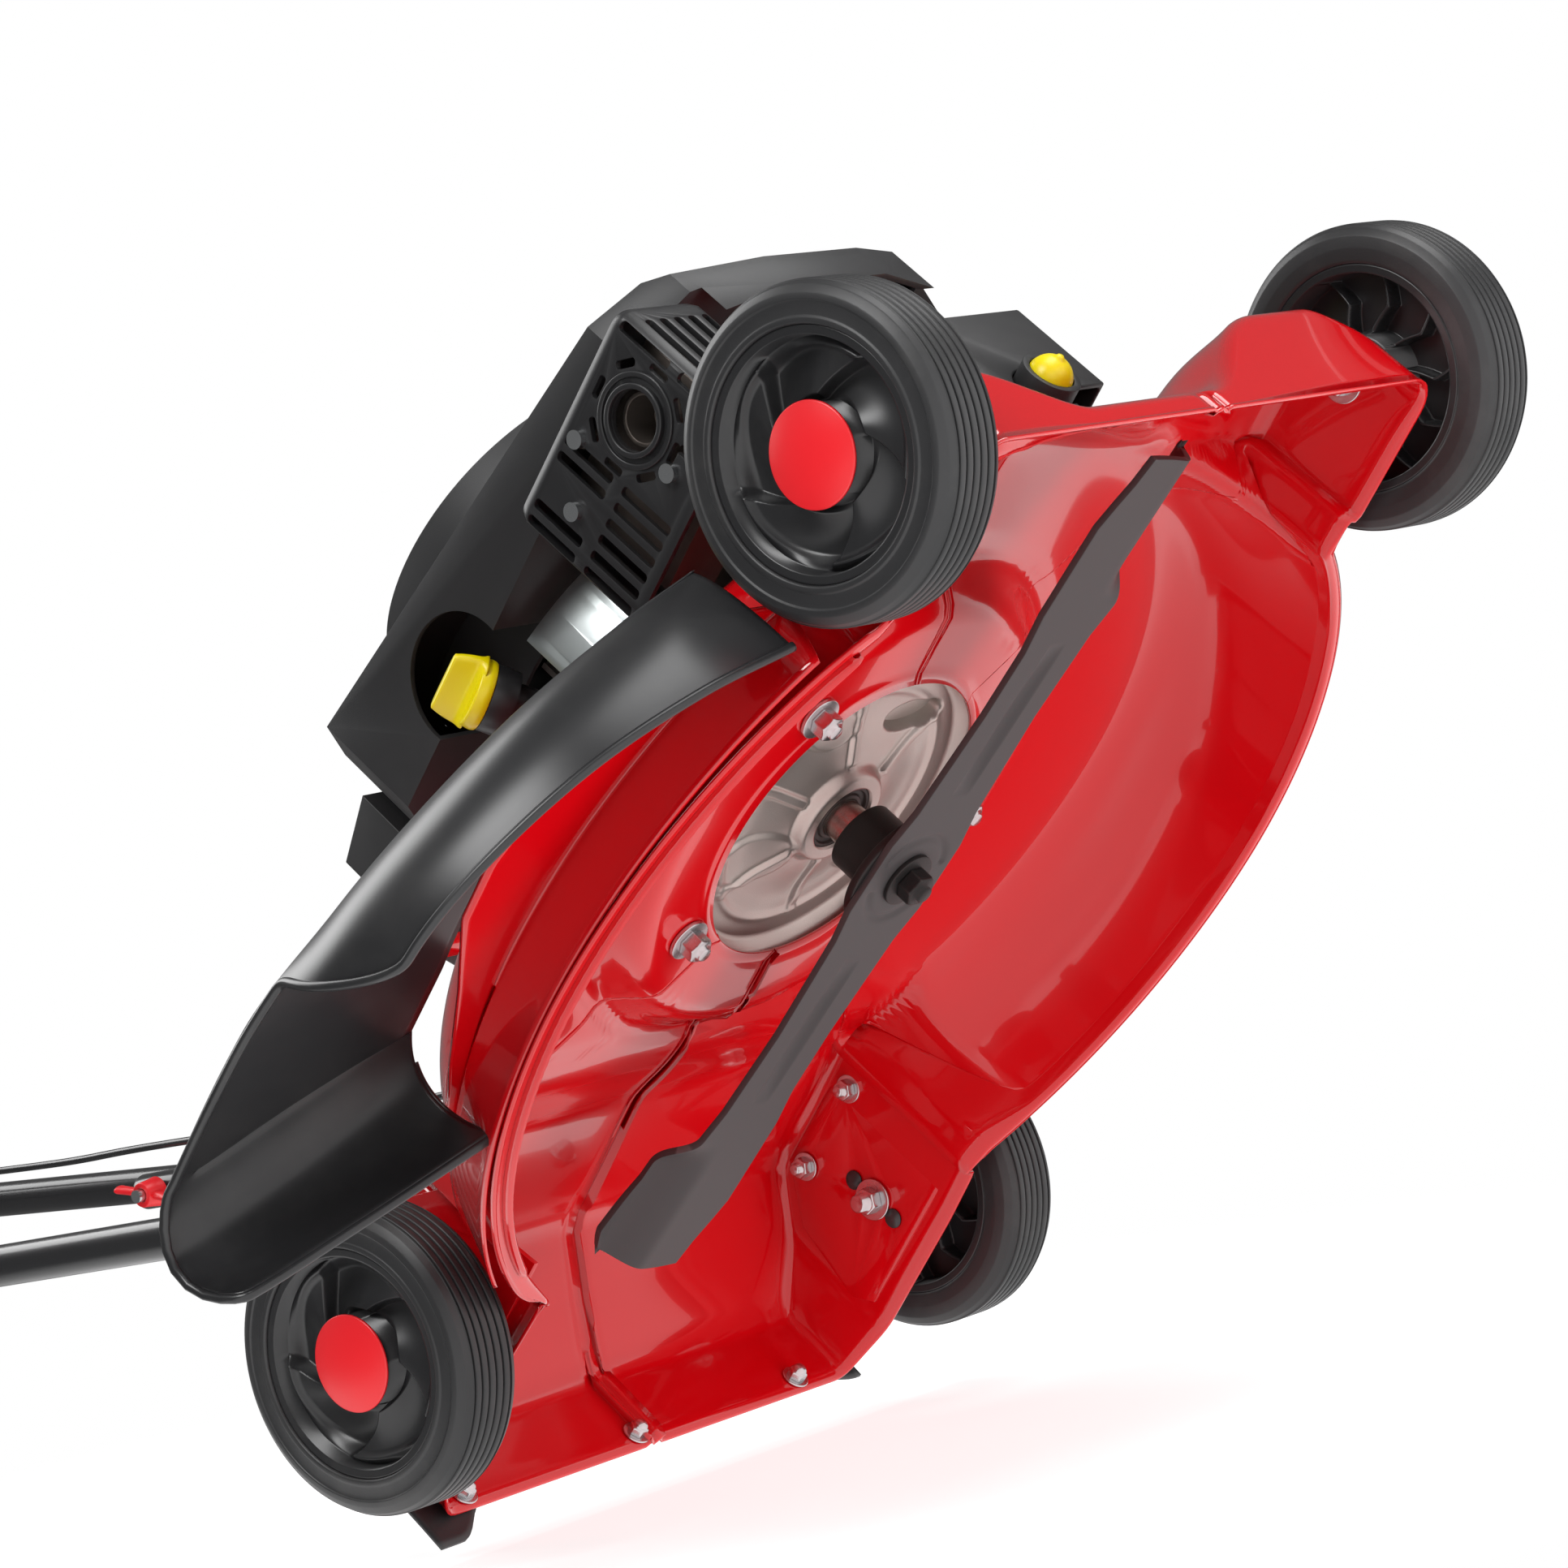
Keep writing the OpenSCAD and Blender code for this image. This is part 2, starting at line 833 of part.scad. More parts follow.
// Drum over the flywheel with the starter's slotted top
module recoil_cover() {
    low = shroud_low + cover_t + 0.1;
    taper = 26;
    shoulder = recoil_top - 14;
    color([0.1, 0.1, 0.1])
    placed()
    difference() {
        union() {
            difference() {
                union() {
                    translate([0, 0, low])
                    cylinder(r = recoil_r, h = shoulder - low);
                    translate([0, 0, shoulder])
                    cylinder(r1 = recoil_r, r2 = recoil_r - taper, h = recoil_top - shoulder);
                }
                translate([0, 0, low - 1])
                cylinder(r = recoil_r - cover_t, h = shoulder - low);
                translate([0, 0, shoulder - 1.5])
                cylinder(r1 = recoil_r - cover_t, r2 = recoil_r - taper - cover_t, h = 12);
            }
            translate([0, 0, rope_z - 10])
            cylinder(r = 5.94, h = recoil_top - rope_z + 8);
            translate([0, 0, rope_z - 14])
            cylinder(r = 10, h = 4.8);
        }
        for (i = [0 : 11])
            rotate([0, 0, 30 * i])
            translate([44, -4, recoil_top - 30])
            cube([30, 8, 40]);
        // Air passage to the cylinder's fins
        translate([-70, -120, low - 1])
        cube([140, 70, 24]);
        translate([rope_x, 50, rope_z])
        rotate([-90, 0, 0])
        cylinder(r = 4, h = 80);
    }
}

module starter_pulley() {
    color([0.2, 0.2, 0.2])
    placed()
    translate([0, 0, rope_z - 7])
    rotate_extrude()
    polygon([
        [6, 0], [34, 0], [34, 3], [30, 5], [30, 9], [34, 11], [34, 14], [6, 14]
    ]);
}

// T-shaped pull at the end of the starter rope
module starter_grip() {
    color([0.1, 0.1, 0.1])
    placed()
    translate([rope_x, 0, rope_z]) {
        translate([-30, recoil_r + 8, 0])
        rotate([0, 90, 0])
        cylinder(r = 9, h = 60);
        translate([0, 84, 0])
        rotate([-90, 0, 0])
        cylinder(r = 3.4, h = recoil_r - 78);
    }
}

// Fuel tank behind the crankcase
module fuel_tank() {
    color([0.1, 0.1, 0.1])
    placed()
    difference() {
        union() {
            translate([0, 0, 216])
            linear_extrude(78)
            fuel_tank_plan(0);
            translate([fuel_cap_x, fuel_cap_y, 292])
            cylinder(r = 20, h = 14);
        }
        translate([0, 0, 219])
        linear_extrude(72)
        fuel_tank_plan(3);
        translate([fuel_cap_x, fuel_cap_y, 280])
        cylinder(r = 15, h = 30);
    }
}

// Plan outline of the fuel tank, t inside its faces
module fuel_tank_plan(t) {
    polygon([
        [-120 + t, shroud_back + 0.1 + t], [-108 + t, 156 - t], [-80, 172 - t], [90, 172 - t],
        [124 - t, 156 - t], [136 - t, shroud_back + 0.1 + t]
    ]);
}

module fuel_cap() {
    color([0.08, 0.08, 0.08])
    placed()
    translate([fuel_cap_x, fuel_cap_y, 306.2])
    difference() {
        union() {
            cylinder(r = 24, h = 15);
            for (i = [0 : 11])
                rotate([0, 0, 30 * i])
                translate([23, 0, 0])
                cylinder(r = 3, h = 12);
            translate([0, 0, -12])
            cylinder(r = 14.9, h = 13);
        }
        translate([0, 0, -13])
        cylinder(r = 12, h = 22);
    }
}

// Carburettor and filter base on the engine's left side
module air_filter_base() {
    color([0.13, 0.13, 0.13])
    placed() {
        translate([64, -200, base_z])
        cube([74, 84, 6]);
        translate([64, -122, base_z])
        cube([74, 6, 100]);
        translate([44.1, -150, 160])
        cube([32, 34, 40]);
        translate([82, -206, base_z])
        cube([24, 8, 30]);
        translate([primer_x, -200, primer_z])
        rotate([90, 0, 0])
        difference() {
            cylinder(r = 16, h = 16);
            translate([0, 0, 3])
            cylinder(r = 12.4, h = 20);
        }
    }
}

module air_filter_cover() {
    color([0.1, 0.1, 0.1])
    placed()
    difference() {
        translate([62, -206, base_z + 6.4])
        cube([82, 83.6, 101]);
        translate([65, -203, base_z])
        cube([76, 90, 104.4]);
        translate([primer_x, -190, primer_z])
        rotate([90, 0, 0])
        cylinder(r = 16.6, h = 30);
        translate([60, -230, base_z])
        cube([90, 60, 42]);
        // Room for the carburettor
        translate([60, -152, 158])
        cube([30, 40, 44]);
    }
}

module primer_bulb() {
    color("yellow")
    placed()
    translate([primer_x, -212.5, primer_z]) {
        rotate([90, 0, 0])
        translate([0, 0, -2])
        cylinder(r = 12.2, h = 4);
        difference() {
            translate([0, -2, 0])
            sphere(r = 12.2);
            translate([-20, 0.1, -20])
            cube([40, 40, 40]);
        }
    }
}

module muffler() {
    color([0.35, 0.33, 0.31])
    placed()
    difference() {
        union() {
            translate([-166, -222, 156])
            cube([34, 92, 72]);
            x_cylinder(-180, outlet_y, outlet_z, 13, 16);
            translate([-133, -150, 184])
            cube([88.9, 14, 22]);
            for (place = guard_screw_places)
                x_cylinder(-182.9, place[0], place[1], 5, 20);
        }
        for (place = guard_screw_places)
            x_cylinder(-190, place[0], place[1], 1.45, 22);
        x_cylinder(-190, outlet_y, outlet_z, 11, 30);
    }
}

// Slotted guard over the muffler, with a round outlet
module muffler_guard() {
    color([0.1, 0.1, 0.1])
    placed()
    difference() {
        translate([-186, -236, 150])
        cube([58, 122, 88]);
        translate([-183, -233, 148])
        cube([60, 116, 87]);
        for (i = [0 : 6])
            translate([-190, -156 + 5.6 * i, 156])
            cube([10, 3, 34]);
        for (i = [0 : 6])
            translate([-190, -156 + 5.6 * i, 198])
            cube([10, 3, 32]);
        for (i = [0 : 4])
            translate([-190, -228 + 5.6 * i, 156])
            cube([10, 3, 20]);
        for (i = [0 : 6])
            translate([-178 + 6 * i, -240, 158])
            cube([3, 10, 68]);
        translate([-190, outlet_y, outlet_z])
        rotate([0, 90, 0])
        cylinder(r = 15, h = 10);
        for (a = [0 : 45 : 315])
            translate([-190, outlet_y, outlet_z])
            rotate([a, 0, 0])
            translate([0, -3, 18])
            cube([10, 6, 3]);
        for (place = guard_screw_places)
            x_cylinder(-190, place[0], place[1], 1.45, 10);
    }
}

module guard_screws() {
    color("silver")
    placed()
    for (place = guard_screw_places) {
        x_cylinder(-189.5, place[0], place[1], 4.6, 3.4);
        x_cylinder(-186.2, place[0], place[1], 1.4, 14);
    }
}

// Zinc-plated cover on the right of the crankcase
module heat_shield() {
    color([0.75, 0.77, 0.8])
    placed()
    difference() {
        union() {
            translate([0, 0, 150])
            rotate_extrude()
            translate([140, 0])
            square([1.6, 84]);
            translate([-140.6, -56, 196])
            cube([44.8, 12, 2]);
        }
        translate([-95.8, -200, 140])
        cube([300, 400, 120]);
        translate([-200, -37, 140])
        cube([120, 240, 120]);
        translate([-200, -200, 140])
        cube([120, 96, 120]);
        x_cylinder(-200, -70, 172, 3, 120);
    }
}

// Filler neck that leans outwards from the crankcase
module oil_filler() {
    color([0.1, 0.1, 0.1])
    placed()
    difference() {
        union() {
            rod_between([-84, filler_y, 166], filler_top, 12);
            rod_between(filler_top + [8.5, 0, -8.5], filler_top, 17);
            translate([-104, filler_y - 12, 156])
            cube([18, 24, 20]);
        }
        rod_between(filler_top + [40, 0, -40], filler_top + [-6, 0, 6], 10);
        translate([0, 0, 120])
        cylinder(r = 92.05, h = seat_z + 60.25 - 120);
    }
}

// Winged yellow cap with its dipstick
module dipstick_cap() {
    color("yellow")
    placed()
    translate(filler_top)
    rotate([0, -45, 0]) {
        translate([0, 0, 0.1])
        cylinder(r = 18, h = 7);
        translate([-4, -20, 6])
        cube([8, 40, 17]);
        translate([0, 0, -12])
        cylinder(r = 9.9, h = 13);
        translate([0, 0, -50])
        cylinder(r = 2, h = 50);
    }
}

module spark_plug() {
    color([0.9, 0.9, 0.88])
    placed()
    translate([0, -186.1, crank_z - 26])
    rotate([90, 0, 0]) {
        translate([0, 0, -28])
        cylinder(r = 4.9, h = 28);
        hexagon(16, 9);
        cylinder(r = 6, h = 26);
        cylinder(r = 3, h = 34);
    }
}

module plug_boot() {
    color([0.08, 0.08, 0.08])
    placed()
    difference() {
        union() {
            translate([0, -197, crank_z - 26])
            rotate([90, 0, 0])
            cylinder(r = 10, h = 36);
            translate([0, -224, crank_z - 26])
            cylinder(r = 8, h = 62);
        }
        translate([0, -190, crank_z - 26])
        rotate([90, 0, 0])
        cylinder(r = 6.1, h = 22.4);
        translate([0, -190, crank_z - 26])
        rotate([90, 0, 0])
        cylinder(r = 3.1, h = 31);
    }
}

// ---- Discharge deflector ----

// Top outline of the deflector, t inside its faces
module deflector_top_plan(t) {
    reach = deflector_reach;
    polygon([
        [-229 - t / 2, -190 + t], [-270, -166 + 1.2 * t], [-310, -120 + 1.3 * t],
        [-reach + 55 + t, -61 + t / 2], [-reach + 20 + t, 0], [-reach + 5 + t, 34],
        [-reach + 5 + t, 134], [-reach + 20 + t, 160 - t], [-275 - t / 2, 88 - t]
    ]);
}

// Lower outline of the deflector, t inside its faces
module deflector_low_plan(t) {
    reach = deflector_reach;
    polygon([
        [-229 - t / 2, -195 + t], [-282, -178 + 1.2 * t], [-335, -146 + 1.3 * t],
        [-reach + 28 + t, -100 + t / 2], [-reach + t, -56], [-reach + t, 134],
        [-reach + 8 + t, 154 - t], [-262 - t / 2, 88 - t]
    ]);
}

module deflector_body(t) {
    hull() {
        translate([0, 0, deflector_top - t - 1])
        linear_extrude(1)
        deflector_top_plan(t);
        translate([0, 0, rim_z + (t > 0 ? 3 : 5)])
        linear_extrude(1)
        deflector_low_plan(t);
    }
}

// Open-mouthed hood that throws the cuttings to the side
module deflector() {
    color([0.1, 0.1, 0.1])
    placed()
    difference() {
        union() {
            difference() {
                deflector_body(0);
                deflector_body(deflector_t);
                // Mouth in the outer wall
                translate([-deflector_reach - 20, -14, rim_z - 2])
                cube([48, 164, deflector_top - deflector_t - 6 - rim_z]);
                // Side towards the deck
                translate([-296, -186, rim_z - 2])
                cube([120, 268, deflector_top - deflector_t - 6 - rim_z]);
            }
            for (y = [rod_front, 40])
                translate([rod_x, y, rod_z])
                rotate([-90, 0, 0])
                cylinder(r = 6.5, h = 24);
            for (y = [rod_front, 40])
                translate([rod_x - 6, y, deflector_top - 2])
                cube([12, 24, rod_z - deflector_top + 2]);
        }
        translate([rod_x, -200, rod_z])
        rotate([-90, 0, 0])
        cylinder(r = rod_r + fit_gap, h = 300);
        // Inner edge, cut along the round wall of the deck
        translate([-volute_shift, 0, rim_z - 5])
        cylinder(r = volute_r + 3, h = deflector_top);
    }
}

// Ears on the deck that carry the hinge rod
module hinge_bracket() {
    color("red")
    placed()
    difference() {
        union() {
            for (y = [rod_front + 28, 28])
                translate([rod_x, y, rod_z])
                rotate([-90, 0, 0])
                cylinder(r = 6.5, h = 8);
            for (y = [rod_front + 28, 28])
                translate([rod_x, y, rod_z - 6.5])
                cube([60, 8, 6.5]);
            translate([rod_x + 44, rod_front + 28, rod_z - 6.5])
            cube([26, 8 - rod_front, 2.5]);
        }
        translate([rod_x, -200, rod_z])
        rotate([-90, 0, 0])
        cylinder(r = rod_r + 0.02, h = 300);
        translate([-volute_shift, 0, 0])
        rotate_extrude()
        volute_profile(-0.05);
    }
}

module hinge_rod() {
    color("silver")
    placed()
    translate([rod_x, rod_front - 4, rod_z])
    rotate([-90, 0, 0]) {
        cylinder(r = rod_r, h = 72 - rod_front);
        translate([0, 0, -3])
        cylinder(r = 5, h = 3);
        translate([0, 0, 72 - rod_front])
        cylinder(r = 5, h = 3);
    }
}

// Torsion spring that closes the deflector
module hinge_spring() {
    color("silver")
    placed()
    for (i = [0 : 11])
        translate([rod_x, rod_front + 41 + 2.6 * i, rod_z])
        rotate([-90, 0, 0])
        rotate_extrude()
        translate([rod_r + 2, 0])
        circle(r = 1);
}

// ---- Handle ----

// Brackets that carry the lower handle on the deck
module handle_brackets() {
    color([0.1, 0.1, 0.1])
    placed()
    for (side = [-1, 1])
        mirror([side < 0 ? 1 : 0, 0, 0])
        difference() {
            union() {
                translate([handle_half_w - tube_r - 3.2, 0, 0])
                rotate([90, 0, 90])
                linear_extrude(3)
                polygon([
                    [lower_y - 34, rear_top + 0.1], [lower_y + 18, rear_top + 0.1],
                    [lower_y + 46, lower_z + 16], [lower_y + 38, lower_z + 38],
                    [lower_y + 16, lower_z + 38], [lower_y - 16, lower_z + 12]
                ]);
                translate([handle_half_w - tube_r - 30, lower_y - 34, rear_top + 0.1])
                cube([27, 52, 3]);
            }
            for (s = bracket_bolts)
                translate(lower_point(1, s) - [100, 0, 0])
                rotate([0, 90, 0])
                cylinder(r = 4.1, h = 120);
        }
}

// Point along the lower handle's line
function lower_point(side, s) = [
    side * handle_half_w, lower_y + s * cos(lower_angle), lower_z + s * sin(lower_angle)
];

module lower_handle(side) {
    color([0.12, 0.12, 0.12])
    placed()
    difference() {
        rod_between(lower_point(side, -18), lower_point(side, lower_len + 24), tube_r);
        rod_between(lower_point(side, -19), lower_point(side, lower_len + 25), tube_r - tube_wall);
        for (s = concat(bracket_bolts, lower_len))
            translate(lower_point(side, s) - [20, 0, 0])
            rotate([0, 90, 0])
            cylinder(r = 4.1, h = 40);
    }
}

module lower_handle_left() {
    lower_handle(1);
}

module lower_handle_right() {
    lower_handle(-1);
}

// Carriage bolts through both ends of the lower handle
module handle_bolts() {
    color("silver")
    placed()
    for (side = [-1, 1])
        mirror([side < 0 ? 1 : 0, 0, 0]) {
            translate(lower_point(1, lower_len) - [30, 0, 0])
            rotate([0, 90, 0])
            cylinder(r = 4, h = 30 + 3 * tube_r + 3);
            translate(lower_point(1, lower_len) + [3 * tube_r + 1.2, 0, 0])
            rotate([0, 90, 0])
            cylinder(r = 8, h = 3);
            for (s = bracket_bolts) {
                translate(lower_point(1, s) - [tube_r + 14, 0, 0])
                rotate([0, 90, 0])
                cylinder(r = 4, h = 2 * tube_r + 15);
                translate(lower_point(1, s) + [tube_r + 0.1, 0, 0])
                rotate([0, 90, 0])
                cylinder(r = 7.5, h = 4);
                translate(lower_point(1, s) - [tube_r + 10, 0, 0])
                rotate([0, 90, 0])
                hexagon(13, 6.6);
            }
        }
}

// Winged nut that locks the folding joint
module wing_nut(side) {
    color("red")
    placed()
    mirror([side < 0 ? 1 : 0, 0, 0])
    translate(lower_point(1, lower_len) - [tube_r + 0.3, 0, 0])
    rotate([0, -90, 0])
    difference() {
        union() {
            cylinder(r = 9, h = 14);
            translate([-24, -3, 4])
            cube([48, 6, 9]);
        }
        translate([0, 0, -1])
        cylinder(r = 4 + fit_gap, h = 20);
    }
}

module wing_nut_left() {
    wing_nut(1);
}

module wing_nut_right() {
    wing_nut(-1);
}

// U-shaped upper handle
module upper_handle() {
    color([0.12, 0.12, 0.12])
    placed()
    translate([0, joint_y, joint_z])
    rotate([upper_angle, 0, 0])
    difference() {
        bent_bar(upper_x, -34, upper_len, 60, tube_r);
        bent_bar(upper_x, -35, upper_len, 60, tube_r - tube_wall);
        for (s = [0, bail_s])
            x_cylinder(-upper_x - 20, s, 0, s == 0 ? 4 + fit_gap : pin_r + fit_gap, 2 * upper_x + 40);
    }
}

module grip() {
    color([0.08, 0.08, 0.08])
    placed()
    translate([-upper_x + 70, bar_y, bar_z])
    rotate([0, 90, 0])
    difference() {
        cylinder(r = grip_r, h = 2 * upper_x - 140);
        translate([0, 0, -1])
        cylinder(r = tube_r + 0.05, h = 2 * upper_x);
    }
}

// Bar that the operator holds to keep the engine running
module bail_lever() {
    color([0.15, 0.15, 0.15])
    placed()
    translate([0, joint_y + bail_s * cos(upper_angle), joint_z + bail_s * sin(upper_angle)])
    rotate([upper_angle + bail_lift, 0, 0]) {
        bent_bar(bail_x, 0, bail_arm, 40, 4);
        for (side = [-1, 1])
            mirror([side < 0 ? 1 : 0, 0, 0])
            x_cylinder(bail_x - 4, 0, 0, pin_r, upper_x - bail_x + 2);
    }
}

// Stop cable from the engine up along the left tubes
module bail_cable() {
    color([0.06, 0.06, 0.06])
    placed()
    swept_cable(cable_route, 2.5, 8);
}

deck();
rear_shield();
shield_screws();
height_plate_left();
height_plate_right();
plate_bolts();
axle_bolts();
wheel_tyre(0);  // tyre_front_left
wheel_tyre(1);  // tyre_front_right
wheel_tyre(2);  // tyre_rear_left
wheel_tyre(3);  // tyre_rear_right
wheel_hub(0);  // hub_front_left
wheel_hub(1);  // hub_front_right
wheel_hub(2);  // hub_rear_left
wheel_hub(3);  // hub_rear_right
wheel_cap(0);  // cap_front_left
wheel_cap(1);  // cap_front_right
wheel_cap(2);  // cap_rear_left
wheel_cap(3);  // cap_rear_right
blade();
blade_adapter();
blade_bolt();
crankshaft();
oil_seal();
sump();
crankcase();
cylinder_head();
flywheel();
engine_bolts();
shroud();
recoil_cover();
starter_pulley();
starter_grip();
fuel_tank();
fuel_cap();
air_filter_base();
air_filter_cover();
primer_bulb();
muffler();
muffler_guard();
guard_screws();
heat_shield();
oil_filler();
dipstick_cap();
spark_plug();
plug_boot();
deflector();
hinge_bracket();
hinge_rod();
hinge_spring();
handle_brackets();
lower_handle_left();
lower_handle_right();
handle_bolts();
wing_nut_left();
wing_nut_right();
upper_handle();
grip();
bail_lever();
bail_cable();
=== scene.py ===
import json
import bmesh
import bpy
import numpy as np
from mathutils import Matrix, Vector


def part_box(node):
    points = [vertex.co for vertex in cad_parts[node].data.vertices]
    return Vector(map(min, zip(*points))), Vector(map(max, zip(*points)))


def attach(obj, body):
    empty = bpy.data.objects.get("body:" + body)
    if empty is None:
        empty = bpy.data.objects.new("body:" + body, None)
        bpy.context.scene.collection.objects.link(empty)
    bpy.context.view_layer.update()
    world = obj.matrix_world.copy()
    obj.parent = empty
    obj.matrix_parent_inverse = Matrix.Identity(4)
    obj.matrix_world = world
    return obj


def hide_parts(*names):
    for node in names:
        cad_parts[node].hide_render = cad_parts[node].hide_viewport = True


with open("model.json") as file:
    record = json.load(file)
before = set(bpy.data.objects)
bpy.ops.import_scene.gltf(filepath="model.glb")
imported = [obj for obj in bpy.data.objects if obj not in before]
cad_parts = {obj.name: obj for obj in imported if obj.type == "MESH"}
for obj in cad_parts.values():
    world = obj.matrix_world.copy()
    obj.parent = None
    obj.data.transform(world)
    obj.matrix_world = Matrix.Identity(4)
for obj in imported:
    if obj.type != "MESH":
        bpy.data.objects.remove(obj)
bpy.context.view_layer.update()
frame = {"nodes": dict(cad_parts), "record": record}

mm = 0.001
driveLow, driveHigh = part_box("flywheel")
crankAxis = np.array([(driveLow[0] + driveHigh[0]) / 2, (driveLow[1] + driveHigh[1]) / 2, 0.0])
corners = ["front_left", "front_right", "rear_left", "rear_right"]


def place(points):  # millimetres from the crankshaft's axis to metres in the model's frame
    return np.asarray(points, float) * mm + crankAxis


def middleOf(node):  # middle of a CAD node's box, in millimetres from the crankshaft's axis
    low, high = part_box(node)
    return (np.array([(low[i] + high[i]) / 2 for i in range(3)]) - crankAxis) / mm


def smoothStep(value, low, high):
    t = np.clip((value - low) / (high - low), 0, 1)
    return t * t * (3 - 2 * t)


def smoothMax(a, b, blend):  # larger of two heights, rounded over where they cross
    return 0.5 * (a + b + np.sqrt((a - b) ** 2 + blend ** 2))


def alongCurve(points, count, closed=False):  # round curve through the points, evenly spaced
    p = np.asarray(points, float)
    if closed:
        p = np.vstack([p[-1:], p, p[:2]])
    else:
        p = np.vstack([2 * p[0] - p[1], p, 2 * p[-1] - p[-2]])
    t = np.linspace(0, 1, 24, endpoint=False)[:, None, None]
    a, b, c, d = p[:-3][None], p[1:-2][None], p[2:-1][None], p[3:][None]
    square, cube = 2 * a - 5 * b + 4 * c - d, 3 * b - a - 3 * c + d
    curve = 0.5 * (2 * b + (c - a) * t + square * t ** 2 + cube * t ** 3)
    line = curve.transpose(1, 0, 2).reshape(-1, p.shape[1])
    if not closed:
        line = np.vstack([line, p[-2]])
    return evenly(line, count, closed)


def evenly(line, count, closed=False):  # the same line, cut into equal steps
    if closed:
        line = np.vstack([line, line[:1]])
    run = np.concatenate([[0], np.cumsum(np.linalg.norm(np.diff(line, axis=0), axis=1))])
    at = np.linspace(0, run[-1], count, endpoint=not closed)
    return np.stack([np.interp(at, run, line[:, i]) for i in range(line.shape[1])], axis=1)


def gridFaces(rows, columns, closedRows=False, closedColumns=False, keep=None):
    i, j = np.meshgrid(np.arange(rows if closedRows else rows - 1),
                       np.arange(columns if closedColumns else columns - 1), indexing="ij")
    nextI, nextJ = (i + 1) % rows, (j + 1) % columns
    faces = np.stack([i * columns + j, nextI * columns + j, nextI * columns + nextJ, i * columns + nextJ], axis=-1)
    if keep is not None:
        return faces[keep]
    return faces.reshape(-1, 4)


def sheetPart(points, closedRows=False, closedColumns=False, keep=None):  # a grid of points as one part
    rows, columns = points.shape[:2]
    return points.reshape(-1, 3), gridFaces(rows, columns, closedRows, closedColumns, keep)


def revolvedPart(profile, steps=96, start=0.0):  # a closed or axis-ended outline turned about Z
    profile = np.asarray(profile, float)
    turn = start + np.linspace(0, 2 * np.pi, steps, endpoint=False)[:, None]
    grid = np.stack([profile[:, 0] * np.cos(turn), profile[:, 0] * np.sin(turn),
                     profile[:, 1] + 0 * turn], axis=-1)
    closed = bool(profile[0, 0] > 1e-6 and profile[-1, 0] > 1e-6)
    return sheetPart(grid, closedRows=True, closedColumns=closed)


def roundedOutline(points, radius, steps=5):  # outline of straight stretches with its corners rounded
    p = np.asarray(points, float)
    before, after = np.roll(p, 1, axis=0) - p, np.roll(p, -1, axis=0) - p
    lenBefore = np.linalg.norm(before, axis=1, keepdims=True)
    lenAfter = np.linalg.norm(after, axis=1, keepdims=True)
    cut = np.minimum(radius, 0.45 * np.minimum(lenBefore, lenAfter))
    a, c = p + before / lenBefore * cut, p + after / lenAfter * cut
    t = np.linspace(0, 1, steps)[None, :, None]
    bend = (1 - t) ** 2 * a[:, None] + 2 * t * (1 - t) * p[:, None] + t ** 2 * c[:, None]
    return bend.reshape(-1, p.shape[1])


def tubePart(path, radius, sides=20, capped=True):  # a circle carried along a path
    path = np.asarray(path, float)
    tangent = np.gradient(path, axis=0)
    tangent /= np.linalg.norm(tangent, axis=1, keepdims=True)
    helper = np.tile([0.31, 0.21, 0.93], (len(path), 1))
    if abs(np.dot(tangent.mean(axis=0), helper[0])) > 0.8:
        helper = np.tile([0.93, -0.31, 0.21], (len(path), 1))
    side = np.cross(tangent, helper)
    side /= np.linalg.norm(side, axis=1, keepdims=True)
    upward = np.cross(side, tangent)
    turn = np.linspace(0, 2 * np.pi, sides, endpoint=False)
    radius = np.broadcast_to(np.asarray(radius, float), (len(path),))
    ring = side[:, None] * np.cos(turn)[None, :, None] + upward[:, None] * np.sin(turn)[None, :, None]
    grid = path[:, None] + ring * radius[:, None, None]
    if capped:
        grid = np.concatenate([np.repeat(path[:1, None], sides, axis=1), grid,
                               np.repeat(path[-1:, None], sides, axis=1)])
    return sheetPart(grid, closedColumns=True)


def turned(part, axis, centre, spin=0.0):  # stands a part that was made along Z on another axis
    turn = Vector((0, 0, 1)).rotation_difference(Vector(axis)).to_matrix() @ Matrix.Rotation(spin, 3, "Z")
    return part[0] @ np.array(turn).T + np.asarray(centre, float), part[1]


def meshObject(name, parts, merge=0.02, sliver=0.01):  # parts joined into one mesh, with its normals outwards
    verts, faces, base = [], [], 0
    for points, quads in parts:
        verts.append(points)
        faces.append(quads + base)
        base += len(points)
    mesh = bpy.data.meshes.new(name)
    mesh.from_pydata(place(np.concatenate(verts)).tolist(), [], np.concatenate(faces).tolist())
    build = bmesh.new()
    build.from_mesh(mesh)
    bmesh.ops.remove_doubles(build, verts=build.verts, dist=merge * mm)
    bmesh.ops.dissolve_degenerate(build, edges=build.edges, dist=sliver * mm)
    bmesh.ops.recalc_face_normals(build, faces=build.faces)
    build.to_mesh(mesh)
    build.free()
    piece = bpy.data.objects.new(name, mesh)
    bpy.context.scene.collection.objects.link(piece)
    return piece


def pieceFrom(name, parts, material, body, nodes=(), smoothAngle=40, thickness=0):
    piece = meshObject(name, parts)
    if thickness:
        wall = piece.modifiers.new("wall", "SOLIDIFY")
        wall.thickness, wall.offset, wall.use_even_offset = thickness * mm, -1, False
    finishPiece(piece, material, body, nodes, smoothAngle)
    return piece


def addBevel(piece, width, segments, angle):  # rounds the edges that turn by more than the angle
    edges = piece.modifiers.new("edges", "BEVEL")
    edges.width, edges.segments, edges.limit_method = width * mm, segments, "ANGLE"
    edges.angle_limit = np.radians(angle)
    return edges


